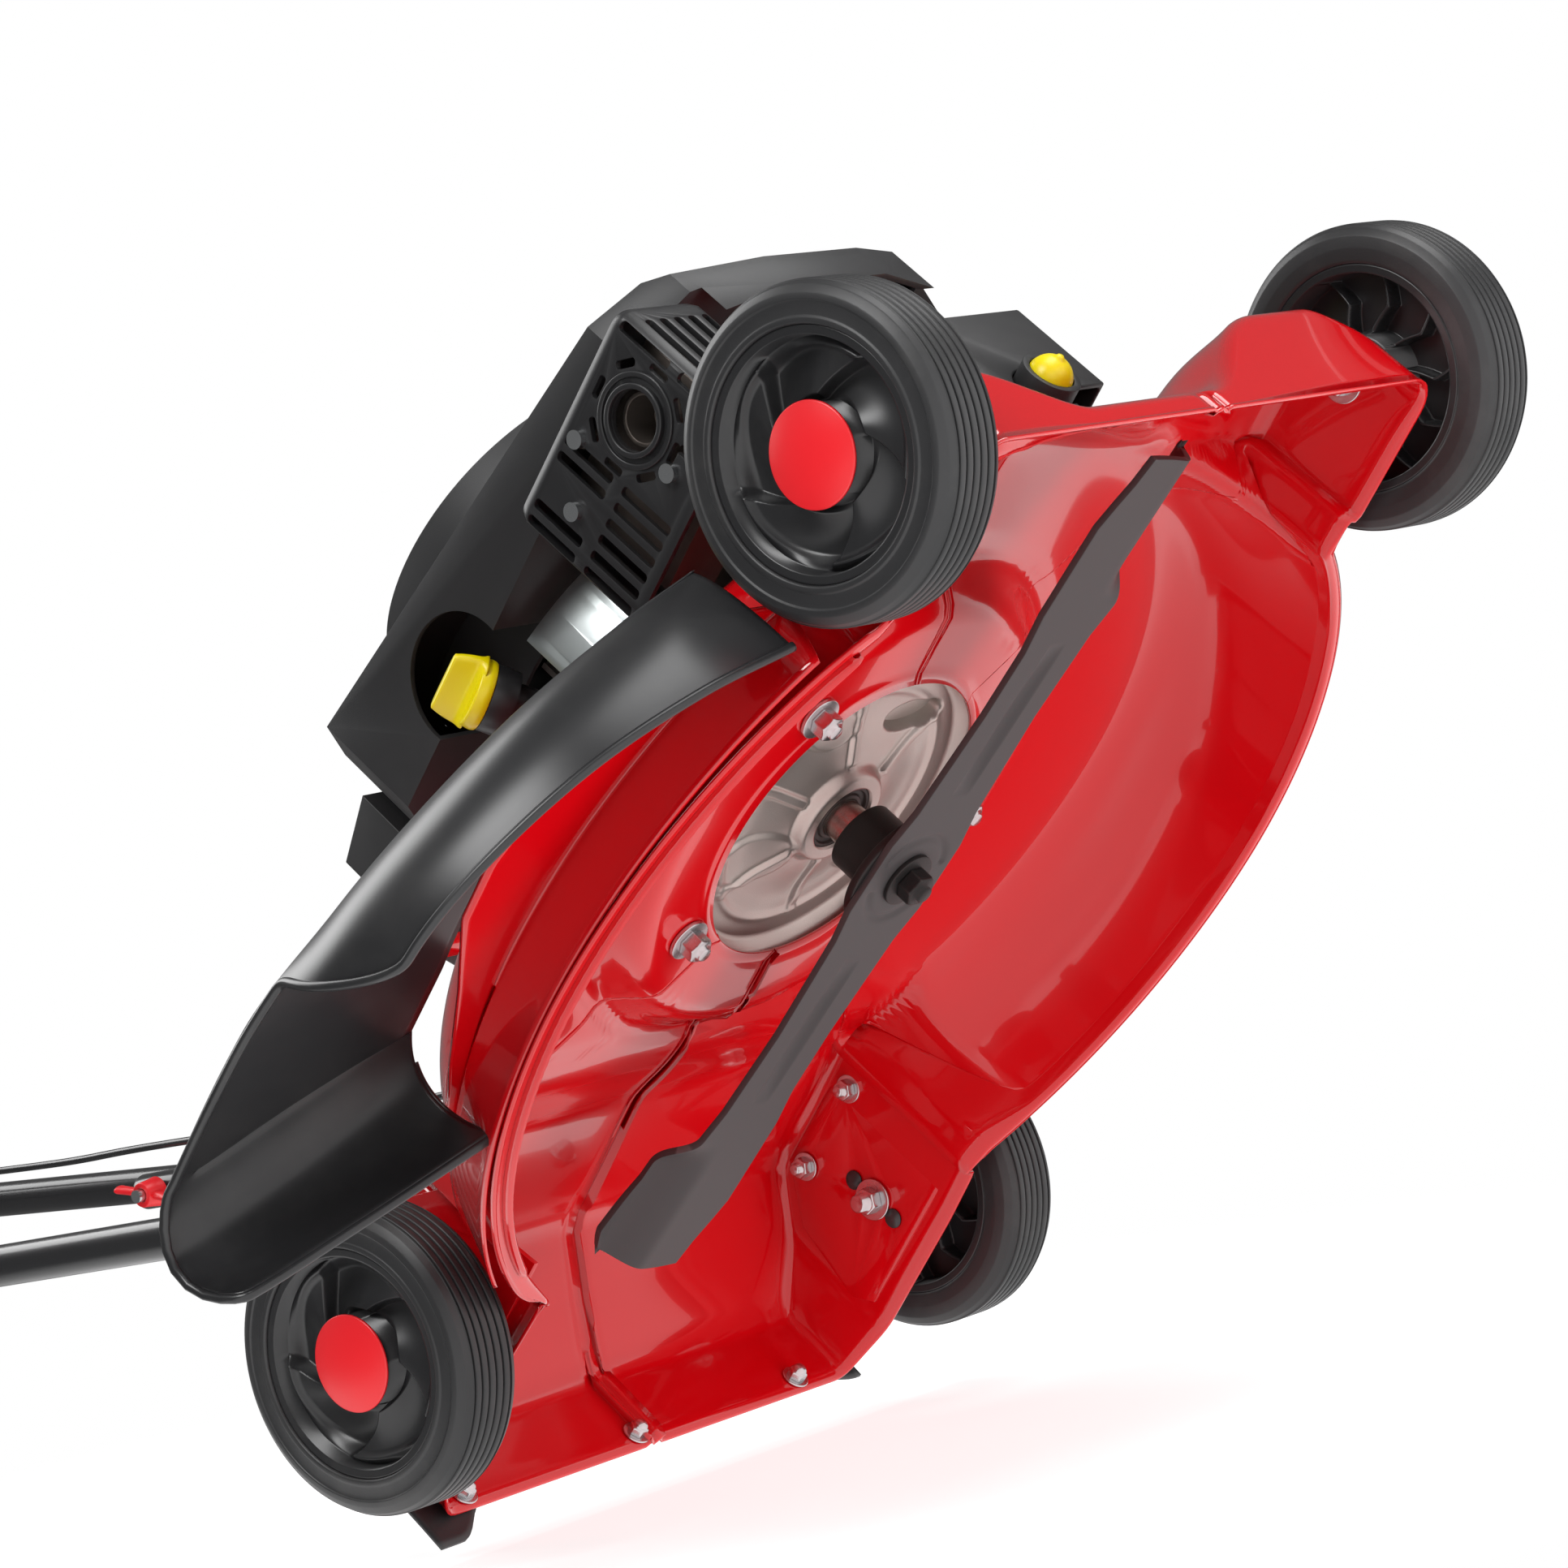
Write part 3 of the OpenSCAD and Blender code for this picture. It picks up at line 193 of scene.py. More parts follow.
def finishPiece(piece, material, body, nodes, smoothAngle):
    piece.data.materials.clear()
    piece.data.materials.append(material)
    piece.data.shade_smooth()
    with bpy.context.temp_override(object=piece, active_object=piece, selected_objects=[piece]):
        bpy.ops.object.shade_auto_smooth(angle=np.radians(smoothAngle))
    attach(piece, body)
    if nodes:
        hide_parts(*nodes)


bodyOf = {node: body for body, nodes in frame["record"]["behaviour"]["bodies"].items() for node in nodes}


def softened(node, material, width):  # a CAD node's shape with its edges rounded
    source = frame["nodes"][node]
    mesh = bpy.data.meshes.new(node + "_soft")
    build = bmesh.new()
    build.from_mesh(source.data)
    bmesh.ops.transform(build, matrix=source.matrix_world, verts=build.verts)
    bmesh.ops.remove_doubles(build, verts=build.verts, dist=0.00001)
    bmesh.ops.dissolve_limit(build, angle_limit=0.02, verts=build.verts, edges=build.edges)
    build.to_mesh(mesh)
    build.free()
    piece = bpy.data.objects.new(node + "_soft", mesh)
    bpy.context.scene.collection.objects.link(piece)
    edges = addBevel(piece, width, 2, 28)
    edges.use_clamp_overlap, edges.miter_outer = True, "MITER_ARC"
    finishPiece(piece, material, bodyOf[node], [node], 45)


# Shader effects that several finishes share
def nodeGroup(name, inputs, outputs):
    group = bpy.data.node_groups.new(name, "ShaderNodeTree")
    for label, default in inputs.items():
        socket = group.interface.new_socket(name=label, in_out="INPUT", socket_type="NodeSocketFloat")
        socket.default_value = default
    for label in outputs:
        group.interface.new_socket(name=label, in_out="OUTPUT", socket_type="NodeSocketFloat")
    return group, group.nodes.new("NodeGroupInput"), group.nodes.new("NodeGroupOutput")


def makeGrain():  # fine speckle and a slow cloud, both from 0 to 1
    group, inside, outside = nodeGroup("grain", {"Fine": 900.0, "Slow": 9.0}, ["Speckle", "Cloud"])
    coord = group.nodes.new("ShaderNodeTexCoord")
    for label, source, detail in [("Speckle", "Fine", 3.0), ("Cloud", "Slow", 4.0)]:
        noise = group.nodes.new("ShaderNodeTexNoise")
        noise.inputs["Detail"].default_value = detail
        group.links.new(coord.outputs["Object"], noise.inputs["Vector"])
        group.links.new(inside.outputs[source], noise.inputs["Scale"])
        group.links.new(noise.outputs["Fac"], outside.inputs[label])
    return group


def makeEdgeWear():  # rubbed corners: high where the surface turns outwards, broken up by noise
    group, inside, outside = nodeGroup("edgeWear", {"Start": 0.54, "Reach": 0.1}, ["Mask"])
    geometry = group.nodes.new("ShaderNodeNewGeometry")
    coord = group.nodes.new("ShaderNodeTexCoord")
    noise = group.nodes.new("ShaderNodeTexNoise")
    noise.inputs["Scale"].default_value = 60.0
    group.links.new(coord.outputs["Object"], noise.inputs["Vector"])
    less = group.nodes.new("ShaderNodeMath")
    less.operation = "SUBTRACT"
    divide = group.nodes.new("ShaderNodeMath")
    divide.operation, divide.use_clamp = "DIVIDE", True
    times = group.nodes.new("ShaderNodeMath")
    times.operation, times.use_clamp = "MULTIPLY", True
    group.links.new(geometry.outputs["Pointiness"], less.inputs[0])
    group.links.new(inside.outputs["Start"], less.inputs[1])
    group.links.new(less.outputs[0], divide.inputs[0])
    group.links.new(inside.outputs["Reach"], divide.inputs[1])
    group.links.new(divide.outputs[0], times.inputs[0])
    group.links.new(noise.outputs["Fac"], times.inputs[1])
    group.links.new(times.outputs[0], outside.inputs["Mask"])
    return group


def makeDust():  # thin dust, in patches
    group, inside, outside = nodeGroup("dust", {"Patch": 14.0, "Amount": 0.3}, ["Mask"])
    coord = group.nodes.new("ShaderNodeTexCoord")
    noise = group.nodes.new("ShaderNodeTexNoise")
    noise.inputs["Detail"].default_value = 8.0
    noise.inputs["Roughness"].default_value = 0.7
    ramp = group.nodes.new("ShaderNodeMapRange")
    ramp.inputs["From Min"].default_value, ramp.inputs["From Max"].default_value = 0.48, 0.8
    times = group.nodes.new("ShaderNodeMath")
    times.operation = "MULTIPLY"
    group.links.new(coord.outputs["Object"], noise.inputs["Vector"])
    group.links.new(inside.outputs["Patch"], noise.inputs["Scale"])
    group.links.new(noise.outputs["Fac"], ramp.inputs["Value"])
    group.links.new(ramp.outputs["Result"], times.inputs[0])
    group.links.new(inside.outputs["Amount"], times.inputs[1])
    group.links.new(times.outputs[0], outside.inputs["Mask"])
    return group


effects = {"grain": makeGrain(), "edgeWear": makeEdgeWear(), "dust": makeDust()}


dustColour = (0.42, 0.40, 0.37)


def makeFinish(name, look):  # two colours in slow clouds, then wear and dust, over a fine speckle of bumps
    material = bpy.data.materials.new(name)
    material.use_nodes = True
    tree = material.node_tree
    shader = tree.nodes["Principled BSDF"]
    for socket, value in look.get("shader", {}).items():
        shader.inputs[socket].default_value = value

    def effect(kind, **values):
        node = tree.nodes.new("ShaderNodeGroup")
        node.node_tree = effects[kind]
        for label, value in values.items():
            node.inputs[label].default_value = value
        return node

    def mixed(first, second, mask):
        mix = tree.nodes.new("ShaderNodeMix")
        mix.data_type = "RGBA"
        for socket, value in ((mix.inputs[6], first), (mix.inputs[7], second)):
            if isinstance(value, tuple):
                socket.default_value = (*value, 1)
            else:
                tree.links.new(value, socket)
        tree.links.new(mask, mix.inputs[0])
        return mix.outputs[2]

    grain = effect("grain", Fine=look.get("fine", 900.0), Slow=look.get("slow", 9.0))
    colour = mixed(look["colour"], look["second"], grain.outputs["Cloud"])
    if "wear" in look:
        wear = effect("edgeWear", Start=look.get("wearStart", 0.54))
        colour = mixed(colour, look["wear"], wear.outputs["Mask"])
    if look.get("dusty"):
        dust = effect("dust", Amount=look["dusty"])
        colour = mixed(colour, dustColour, dust.outputs["Mask"])
    tree.links.new(colour, shader.inputs["Base Color"])
    rough = tree.nodes.new("ShaderNodeMapRange")
    rough.inputs["To Min"].default_value, rough.inputs["To Max"].default_value = look["rough"]
    tree.links.new(grain.outputs["Cloud"], rough.inputs["Value"])
    tree.links.new(rough.outputs["Result"], shader.inputs["Roughness"])
    bump = tree.nodes.new("ShaderNodeBump")
    bump.inputs["Strength"].default_value = look.get("bump", 0.1)
    bump.inputs["Distance"].default_value = look.get("bumpDepth", 0.0003)
    tree.links.new(grain.outputs[look.get("bumpFrom", "Speckle")], bump.inputs["Height"])
    tree.links.new(bump.outputs["Normal"], shader.inputs["Normal"])
    return material


redEnamel = makeFinish("redEnamel", {
    "colour": (0.55, 0.001, 0.004), "second": (0.47, 0.001, 0.004), "rough": (0.12, 0.19), "fine": 260.0,
    "bump": 0.05, "bumpDepth": 0.0002, "slow": 3.0,
    "shader": {"Coat Weight": 0.9, "Coat Roughness": 0.03, "Specular IOR Level": 0.35}})
hoodPlastic = makeFinish("hoodPlastic", {
    "colour": (0.012, 0.012, 0.013), "second": (0.019, 0.019, 0.020), "rough": (0.26, 0.36), "fine": 1500.0,
    "bump": 0.1, "bumpDepth": 0.0001, "dusty": 0.03})
coverPlastic = makeFinish("coverPlastic", {
    "colour": (0.016, 0.016, 0.017), "second": (0.022, 0.022, 0.023), "rough": (0.42, 0.54), "fine": 2200.0,
    "bump": 0.35, "bumpDepth": 0.00015, "wear": (0.06, 0.06, 0.06)})
darkPlastic = makeFinish("darkPlastic", {
    "colour": (0.010, 0.010, 0.011), "second": (0.015, 0.015, 0.016), "rough": (0.34, 0.46), "fine": 1400.0,
    "bump": 0.2, "bumpDepth": 0.0001, "wear": (0.05, 0.05, 0.05)})
hubPlastic = makeFinish("hubPlastic", {
    "colour": (0.011, 0.011, 0.012), "second": (0.016, 0.016, 0.017), "rough": (0.27, 0.37), "fine": 1200.0,
    "bump": 0.12, "bumpDepth": 0.0001, "dusty": 0.03})
tyreRubber = makeFinish("tyreRubber", {
    "colour": (0.013, 0.013, 0.014), "second": (0.020, 0.020, 0.021), "rough": (0.36, 0.5), "fine": 1000.0,
    "bump": 0.22, "bumpDepth": 0.0002, "dusty": 0.05})
capRed = makeFinish("capRed", {
    "colour": (0.72, 0.012, 0.018), "second": (0.64, 0.008, 0.014), "rough": (0.3, 0.4), "fine": 1400.0, "bump": 0.15,
    "bumpDepth": 0.0001, "shader": {"Subsurface Weight": 0.05, "Subsurface Scale": 0.002}})
yellowCap = makeFinish("yellowCap", {
    "colour": (0.86, 0.72, 0.0), "second": (0.80, 0.64, 0.0), "rough": (0.28, 0.4), "fine": 1200.0, "bump": 0.15,
    "shader": {"Subsurface Weight": 0.06, "Subsurface Scale": 0.002}})
bladeCoat = makeFinish("bladeCoat", {
    "colour": (0.038, 0.037, 0.038), "second": (0.052, 0.051, 0.052), "rough": (0.46, 0.58), "fine": 1600.0,
    "bump": 0.3, "bumpDepth": 0.00015, "wear": (0.16, 0.16, 0.16), "wearStart": 0.56,
    "shader": {"Metallic": 0.35}})
zincPlate = makeFinish("zincPlate", {
    "colour": (0.66, 0.67, 0.68), "second": (0.50, 0.52, 0.53), "rough": (0.16, 0.34), "fine": 500.0, "slow": 40.0,
    "bump": 0.12, "shader": {"Metallic": 1.0}})
zincSheet = makeFinish("zincSheet", {
    "colour": (0.62, 0.66, 0.68), "second": (0.46, 0.50, 0.48), "rough": (0.26, 0.44), "fine": 300.0, "slow": 26.0,
    "bump": 0.1, "shader": {"Metallic": 1.0}})
turnedSteel = makeFinish("turnedSteel", {
    "colour": (0.52, 0.48, 0.43), "second": (0.40, 0.37, 0.33), "rough": (0.18, 0.32), "fine": 800.0, "slow": 60.0,
    "bump": 0.15, "shader": {"Metallic": 1.0}})
blackSteel = makeFinish("blackSteel", {
    "colour": (0.014, 0.014, 0.015), "second": (0.022, 0.021, 0.020), "rough": (0.38, 0.55), "fine": 900.0,
    "bump": 0.25, "wear": (0.12, 0.11, 0.10), "shader": {"Metallic": 0.6}})
castAluminium = makeFinish("castAluminium", {
    "colour": (0.56, 0.53, 0.49), "second": (0.44, 0.41, 0.38), "rough": (0.30, 0.42), "fine": 1300.0, "slow": 22.0,
    "bump": 0.5, "bumpDepth": 0.0002, "shader": {"Metallic": 0.85}})
brownRubber = makeFinish("brownRubber", {
    "colour": (0.035, 0.022, 0.018), "second": (0.022, 0.016, 0.013), "rough": (0.4, 0.6), "bump": 0.2})
exhaustSteel = makeFinish("exhaustSteel", {
    "colour": (0.20, 0.17, 0.15), "second": (0.10, 0.085, 0.075), "rough": (0.4, 0.6), "slow": 24.0, "bump": 0.3,
    "shader": {"Metallic": 0.9}})
tubePaint = makeFinish("tubePaint", {
    "colour": (0.012, 0.012, 0.013), "second": (0.017, 0.017, 0.018), "rough": (0.2, 0.32), "fine": 700.0,
    "bump": 0.12, "wear": (0.06, 0.06, 0.06), "shader": {"Coat Weight": 0.3}})
gripFoam = makeFinish("gripFoam", {
    "colour": (0.012, 0.012, 0.012), "second": (0.022, 0.022, 0.022), "rough": (0.75, 0.9), "fine": 700.0, "bump": 0.9,
    "bumpDepth": 0.0006})
glazedWhite = makeFinish("glazedWhite", {
    "colour": (0.80, 0.79, 0.74), "second": (0.70, 0.68, 0.63), "rough": (0.12, 0.2), "bump": 0.05})
print("finishes made")

# Deck: one pressed sheet. Its height is the largest of three stamped forms, the round blade housing,
# the front block and the rear block, and its walls stand on a rim that follows their common outline.
deckForm = {
    "centreX": -4.5, "rimRadius": 280.2, "rimZ": 35.0, "neckShrink": 9.0, "tunnelZ": 130.0, "seatZ": 112.0,
    "opening": 85.0, "frontY": -306.0, "rearY": 362.0, "frontHalf": 185.0, "rearHalf": 177.0, "sheet": 2.4,
    "rearTop": 142.0, "shoulder": 9.0, "lip": 4.5, "chuteLip": 9.0, "neckReach": np.radians(48), "footTop": 43.0,
    "housingBend": 14.0, "blend": 9.0, "wallSlope": 2.2, "sideSlope": 4.0}


def rimRadiusAt(swing):  # the round housing draws in a little towards the blocks
    f = deckForm
    return f["rimRadius"] - f["lip"] - f["neckShrink"] * np.clip(np.abs(swing) / f["neckReach"], 0, 1) ** 1.5


def deckOutline():  # plan of the rim, anticlockwise from the front's middle: blocks joined by the round housing
    f = deckForm
    swing = np.linspace(-f["neckReach"], f["neckReach"], 60)
    radius = rimRadiusAt(swing)
    left = np.stack([f["centreX"] + radius * np.cos(swing), radius * np.sin(swing)], axis=1)
    right = np.stack([f["centreX"] - (radius + 2) * np.cos(swing[::-1]), (radius + 2) * np.sin(swing[::-1])], axis=1)
    w, back = f["frontHalf"] - 1, f["rearHalf"] - 1
    frontCorner = roundedOutline([[0, f["frontY"]], [w - 12, f["frontY"]], [w, f["frontY"] + 14], [w, -216]], 8, 6)
    rearCorner = roundedOutline([[back - 4, 210], [back, 250], [back, 330], [back - 18, f["rearY"]],
                                 [0, f["rearY"]]], 8, 6)
    front = frontCorner[frontCorner[:, 0] > 1]
    rear = rearCorner[rearCorner[:, 0] > 1]
    line = np.vstack([[[0, f["frontY"]]], front, left, rear, [[0, f["rearY"]]],
                      rear[::-1] * [-1, 1], right, front[::-1] * [-1, 1]])
    return evenly(line, 560, closed=True)


def deckHeight(x, y):  # top of the pressing: the blade tunnel with its flat seat, the front block and the rear block
    f = deckForm
    side, swing = x - f["centreX"], np.arctan2(y, np.abs(x - f["centreX"]))
    distance = np.hypot(side, y)
    inside = rimRadiusAt(swing) - distance
    house = f["footTop"] + (f["tunnelZ"] - f["footTop"]) * (1 - np.exp(-inside / f["housingBend"]))
    centre = np.hypot(x, y)
    house = house - (f["tunnelZ"] - f["seatZ"]) * (1 - smoothStep(centre, 124, 148))
    house = house + 2.0 * np.exp(-((centre - 152) / 7.0) ** 2)
    edge = (52 + 50 * smoothStep(x, 8, 104) - 40 * smoothStep(x, 146, 186)
            + 36 * smoothStep(-x, 84, 142) - 14 * smoothStep(-x, 160, 186))
    behind = (82 + 32 * smoothStep(x, 8, 110) - 8 * smoothStep(x, 160, 186)
              + 30 * smoothStep(-x, 84, 146) - 8 * smoothStep(-x, 164, 186))
    front = edge + (behind - edge) * smoothStep(y, f["frontY"], f["frontY"] + 46)
    front = front - f["wallSlope"] * np.maximum(0, y + 212)
    front = front - f["sideSlope"] * np.maximum(0, np.abs(x) - f["frontHalf"])
    rear = np.interp(y, [130, 200, 212, 292, 304, 330, f["rearY"]],
                     [112, 139, f["rearTop"], f["rearTop"], 139, 116, 84])
    rear = rear - f["wallSlope"] * np.maximum(0, 150 - y)
    rear = rear - f["sideSlope"] * np.maximum(0, np.abs(x) - f["rearHalf"])
    return smoothMax(smoothMax(house, front, f["blend"]), rear, f["blend"])


def makeDeck():
    f = deckForm
    rim = deckOutline()
    ahead = np.roll(rim, -1, axis=0) - np.roll(rim, 1, axis=0)
    ahead /= np.linalg.norm(ahead, axis=1, keepdims=True)
    outward = np.stack([ahead[:, 1], -ahead[:, 0]], axis=1)
    angle = np.arctan2(rim[:, 1], rim[:, 0])
    mouth = f["opening"] * np.stack([np.cos(angle), np.sin(angle)], axis=1)
    inwards = mouth - rim
    share = np.linspace(0, 1, 65) ** 1.7
    plan = rim[:, None] + inwards[:, None] * share[None, :, None]
    depth = np.abs((inwards * outward).sum(axis=1))[:, None] * share[None]
    away = 1 - np.clip(depth / f["shoulder"], 0, 1)
    roundOff = f["shoulder"] * (1 - np.sqrt(np.clip(1 - away ** 2, 0, 1)))
    blocky = smoothStep(np.abs(rim[:, 1]), 196, 214)[:, None]
    height = deckHeight(plan[..., 0], plan[..., 1]) - roundOff * blocky
    height[:, -1] -= 2.0
    top = np.concatenate([plan, height[..., None]], axis=-1)
    lift = np.linspace(0, 1, 12)[None, :-1, None]
    foot = np.concatenate([rim, np.full((len(rim), 1), f["rimZ"])], axis=1)[:, None]
    head = top[:, :1]
    wall = foot + (head - foot) * lift
    chuteSide = (rim[:, 0] < 0) & (np.abs(rim[:, 1]) < 215)
    wider = np.where(chuteSide, 1 - smoothStep(np.abs(rim[:, 1]), 190, 215), 0)
    wide = f["lip"] + (f["chuteLip"] - f["lip"]) * wider
    narrow = smoothStep(np.abs(rim[:, 1]), 200, 216)
    wide = wide * (1 - narrow) + 0.6 * narrow
    reach = np.linspace(1, 0, 7)[None, :-1]
    flange = rim[:, None] + outward[:, None] * (wide[:, None] * reach)[..., None]
    drop = f["rimZ"] - 1.6 * smoothStep(reach, 0.75, 1.0) * (1 - narrow[:, None])
    flange = np.concatenate([flange, (drop + 0 * wide[:, None])[..., None]], axis=-1)
    grid = np.concatenate([flange, wall, top], axis=1)
    middle = (grid + np.roll(grid, -1, axis=0))[:, :-1] / 2
    across, along, up = middle[..., 0], middle[..., 1], middle[..., 2]
    gap = (across < -225) & (along > -125) & (along < 35) & (up > 80) & (up < 111)  # way out for the grass
    shell = sheetPart(grid, closedRows=True, keep=~gap)
    pieceFrom("deckShell", [shell], redEnamel, "mower", ["deck"], 50, thickness=f["sheet"])


apronForm = {
    "lipRadius": 284.0, "creaseRadius": 271.0, "creaseZ": 76.0, "ledgeRise": 0.8, "wall": 2.0,
    "tipY": [-188, -150, -110, -60, -28, -4, 20, 50, 71, 88, 110, 190],
    "tipX": [-232, -280, -304, -324, -323, -311, -299, -286, -277, -268, -258, -196]}


def makeChuteApron():  # outer wall of the chute side: up from the wide lip, in to a crease, and out as a ledge
    f = apronForm
    y = np.linspace(-188, 190, 120)
    outer, crease = (deckForm["centreX"] - np.sqrt(np.clip(radius ** 2 - y ** 2, 0, None))
                     for radius in (f["lipRadius"], f["creaseRadius"]))
    tip = np.minimum(np.interp(y, f["tipY"], f["tipX"]), crease)
    up, out = np.linspace(0, 1, 10)[:, None], np.linspace(0.08, 1, 10)[:, None]
    x = np.vstack([outer + (crease - outer) * up ** 0.8, crease + (tip - crease) * out])
    z = np.vstack([deckForm["rimZ"] + (f["creaseZ"] - deckForm["rimZ"]) * up, f["creaseZ"] + f["ledgeRise"] * out])
    grid = np.stack([x, y + 0 * x, z + 0 * x], axis=-1).transpose(1, 0, 2)
    return pieceFrom("chuteApron", [sheetPart(grid)], redEnamel, "mower", (), 35, thickness=f["wall"])


makeDeck()
chuteApron = makeChuteApron()
print("deck pressed")

# Deflector: a skirt under a rounded top. Its lower edge climbs in an S where the mouth opens.
hoodForm = {"topZ": 109.0, "footZ": 42.0, "wall": 2.6, "bead": 2.4, "crown": 1.0, "innerRadius": 270.0,
            "outerX": -401.5, "hinge": (-300, 118), "knuckles": (-74, 40)}


def makeHood():
    f = hoodForm
    # three plans: its lower edge, its widest level and the edge of its flat top
    low = alongCurve([[-233, -194], [-284, -176], [-336, -145], [-376, -102], [-398, -58], [-400, -10], [-400, 60],
                      [-400, 130], [-399.5, 151], [-340, 123], [-271, 86]], 300)
    wide = alongCurve([[-232, -192], [-282, -173], [-330, -139], [-368, -94], [-392, -46], [-399, 0], [-400, 60],
                       [-400, 150], [-399.5, 170], [-340, 140], [-270, 96]], 300)
    high = alongCurve([[-229, -184], [-262, -160], [-303, -118], [-340, -60], [-365, -18], [-388, 30], [-394, 66],
                       [-394, 118], [-388, 134], [-334, 106], [-271, 76]], 300)
    along = np.linspace(0, 1, 300)
    side = smoothStep(along, 0.40, 0.56) * (1 - smoothStep(along, 0.725, 0.755))
    rise = smoothStep(low[:, 1], -48, 10)
    start = np.where(along < 0.6, rise, side) * 0.86
    inner = np.stack([-np.sqrt(np.clip(f["innerRadius"] ** 2 - np.clip(high[:, 1], -185, 185) ** 2, 0, None))
                      + deckForm["centreX"], high[:, 1]], axis=1)
    inner[:, 0] = np.maximum(np.minimum(inner[:, 0], -272), high[:, 0] + 2)
    rows = []
    for share in np.linspace(0, 1, 34):  # from the free edge up the skirt and round the fold
        level = start + (1 - start) * share
        first = ((1 - level) ** 2)[:, None]
        second = (2 * level * (1 - level))[:, None]
        third = (level ** 2)[:, None]
        plan = first * low + second * (2.0 * wide - (low + high) / 2) + third * high
        plan = np.maximum(plan, [f["outerX"], -400])
        lift = f["footZ"] + (f["topZ"] - f["footZ"]) * (1 - (1 - level) ** 1.35)
        rows.append(np.column_stack([plan, lift]))
    for share in np.linspace(0, 1, 24)[1:]:  # across the top
        plan = high + (inner - high) * share
        rows.append(np.column_stack([plan, f["topZ"] + f["crown"] * np.sin(np.pi * share) + 0 * along]))
    grid = np.stack(rows, axis=1)
    for _ in range(10):  # soften the last of the fold
        grid[:, 1:-1] = 0.25 * grid[:, :-2] + 0.5 * grid[:, 1:-1] + 0.25 * grid[:, 2:]
    for _ in range(2):
        grid[1:-1] = 0.25 * grid[:-2] + 0.5 * grid[1:-1] + 0.25 * grid[2:]
    pieceFrom("hoodShell", [sheetPart(grid)], hoodPlastic, "deflector", ["deflector"], 60, f["wall"])
    edge = np.concatenate([grid[:, 0], grid[-1, 1:26]])
    rim = pieceFrom("hoodRim", [tubePart(edge, f["bead"], 12)], hoodPlastic, "deflector", (), 60)
    knuckles = []
    for first in f["knuckles"]:
        outline = roundedOutline([[3.1, 0], [6.4, 0], [6.4, 24], [3.1, 24]], 0.8, 3)
        knuckles.append(turned(revolvedPart(outline, 32), (0, 1, 0), (f["hinge"][0], first, f["hinge"][1])))
    ears = pieceFrom("hoodKnuckles", knuckles, hoodPlastic, "deflector", (), 40)


makeHood()
print("deflector moulded")

# Wheels: tyre, hub and cap. The hub's outer dish carries five swept vanes, its inner side thin kinked ribs.
wheelForm = {"radius": 77.0, "width": 41.0, "hubRadius": 57.0, "cap": 24.3, "vanes": 5, "ribs": 10, "grooves": 6,
             "boreRim": 23.2, "dishRim": 52.0}


def tyreOutline():  # section of the tyre with its grooves, as radius and place across
    f = wheelForm
    half = f["width"] / 2
    outer = [[f["hubRadius"] + 0.1, -half + 1], [f["hubRadius"] + 1.6, -half + 0.2], [f["radius"] - 12, -half],
             [f["radius"] - 6, -half + 0.8], [f["radius"] - 2.2, -half + 3.4], [f["radius"] - 0.8, -half + 7]]
    for i in range(f["grooves"]):
        y = (i - (f["grooves"] - 1) / 2) * 5.0
        outer += [[f["radius"] - 0.05, y - 0.8], [f["radius"] - 1.7, y - 0.45], [f["radius"] - 1.7, y + 0.45],
                  [f["radius"] - 0.05, y + 0.8]]
    outer += [[f["radius"] - 0.8, half - 7], [f["radius"] - 2.2, half - 3.4], [f["radius"] - 6, half - 0.8],
              [f["radius"] - 9, half - 0.1], [f["radius"] - 9.6, half - 0.9], [f["radius"] - 12, half - 0.9],
              [f["hubRadius"] + 4, half - 0.7], [f["hubRadius"] + 3.2, half], [f["hubRadius"] + 1.0, half],
              [f["hubRadius"] + 0.1, half - 1]]
    return roundedOutline(outer, 0.5, 3)


def hubFace(outerSide):  # one side of the hub as a height over radius and turn
    f = wheelForm
    radius = np.concatenate([np.linspace(6.2, 22, 8), np.linspace(f["boreRim"], f["dishRim"], 46),
                             np.linspace(f["dishRim"] + 0.6, f["hubRadius"], 6)])
    turn = np.linspace(0, 2 * np.pi, 600, endpoint=False)[:, None]
    out = (radius[None] - f["boreRim"]) / (f["dishRim"] - f["boreRim"])
    if outerSide:
        lean = 0.95 * out - 0.25 * out ** 2
        phase = np.mod((turn + lean) * f["vanes"] / (2 * np.pi), 1)
        vane = np.clip(phase / 0.06, 0, 1) * (1 - smoothStep(phase, 0.12, 0.95))
        dish = 4.5 + 5.5 * smoothStep(out, 0.75, 1.0) - 2.5 * np.sin(np.pi * np.clip(out, 0, 1))
        height = dish + 8.5 * vane * np.clip(out * 9, 0, 1) * np.clip((1 - out) * 8, 0, 1)
        height = np.where(radius < 23, 17.6, height)
        height = np.where(radius > 52.3, 19.0 - 0.12 * (f["hubRadius"] - radius), height)
        return radius, turn, height
    lean = 0.34 * np.abs(out - 0.5)
    phase = np.mod((turn + lean) * f["ribs"] / (2 * np.pi), 1) - 0.5
    arc = np.abs(phase) * 2 * np.pi / f["ribs"] * radius[None]
    rib = 1 - smoothStep(arc, 0.7, 1.5)
    height = 1.0 + (11.5 - 3.5 * out) * rib * (out > -0.02)
    height = np.where(radius < 23, 19.0, height)
    height = np.where(radius > 52.3, 19.4, height)
    return radius, turn, -height


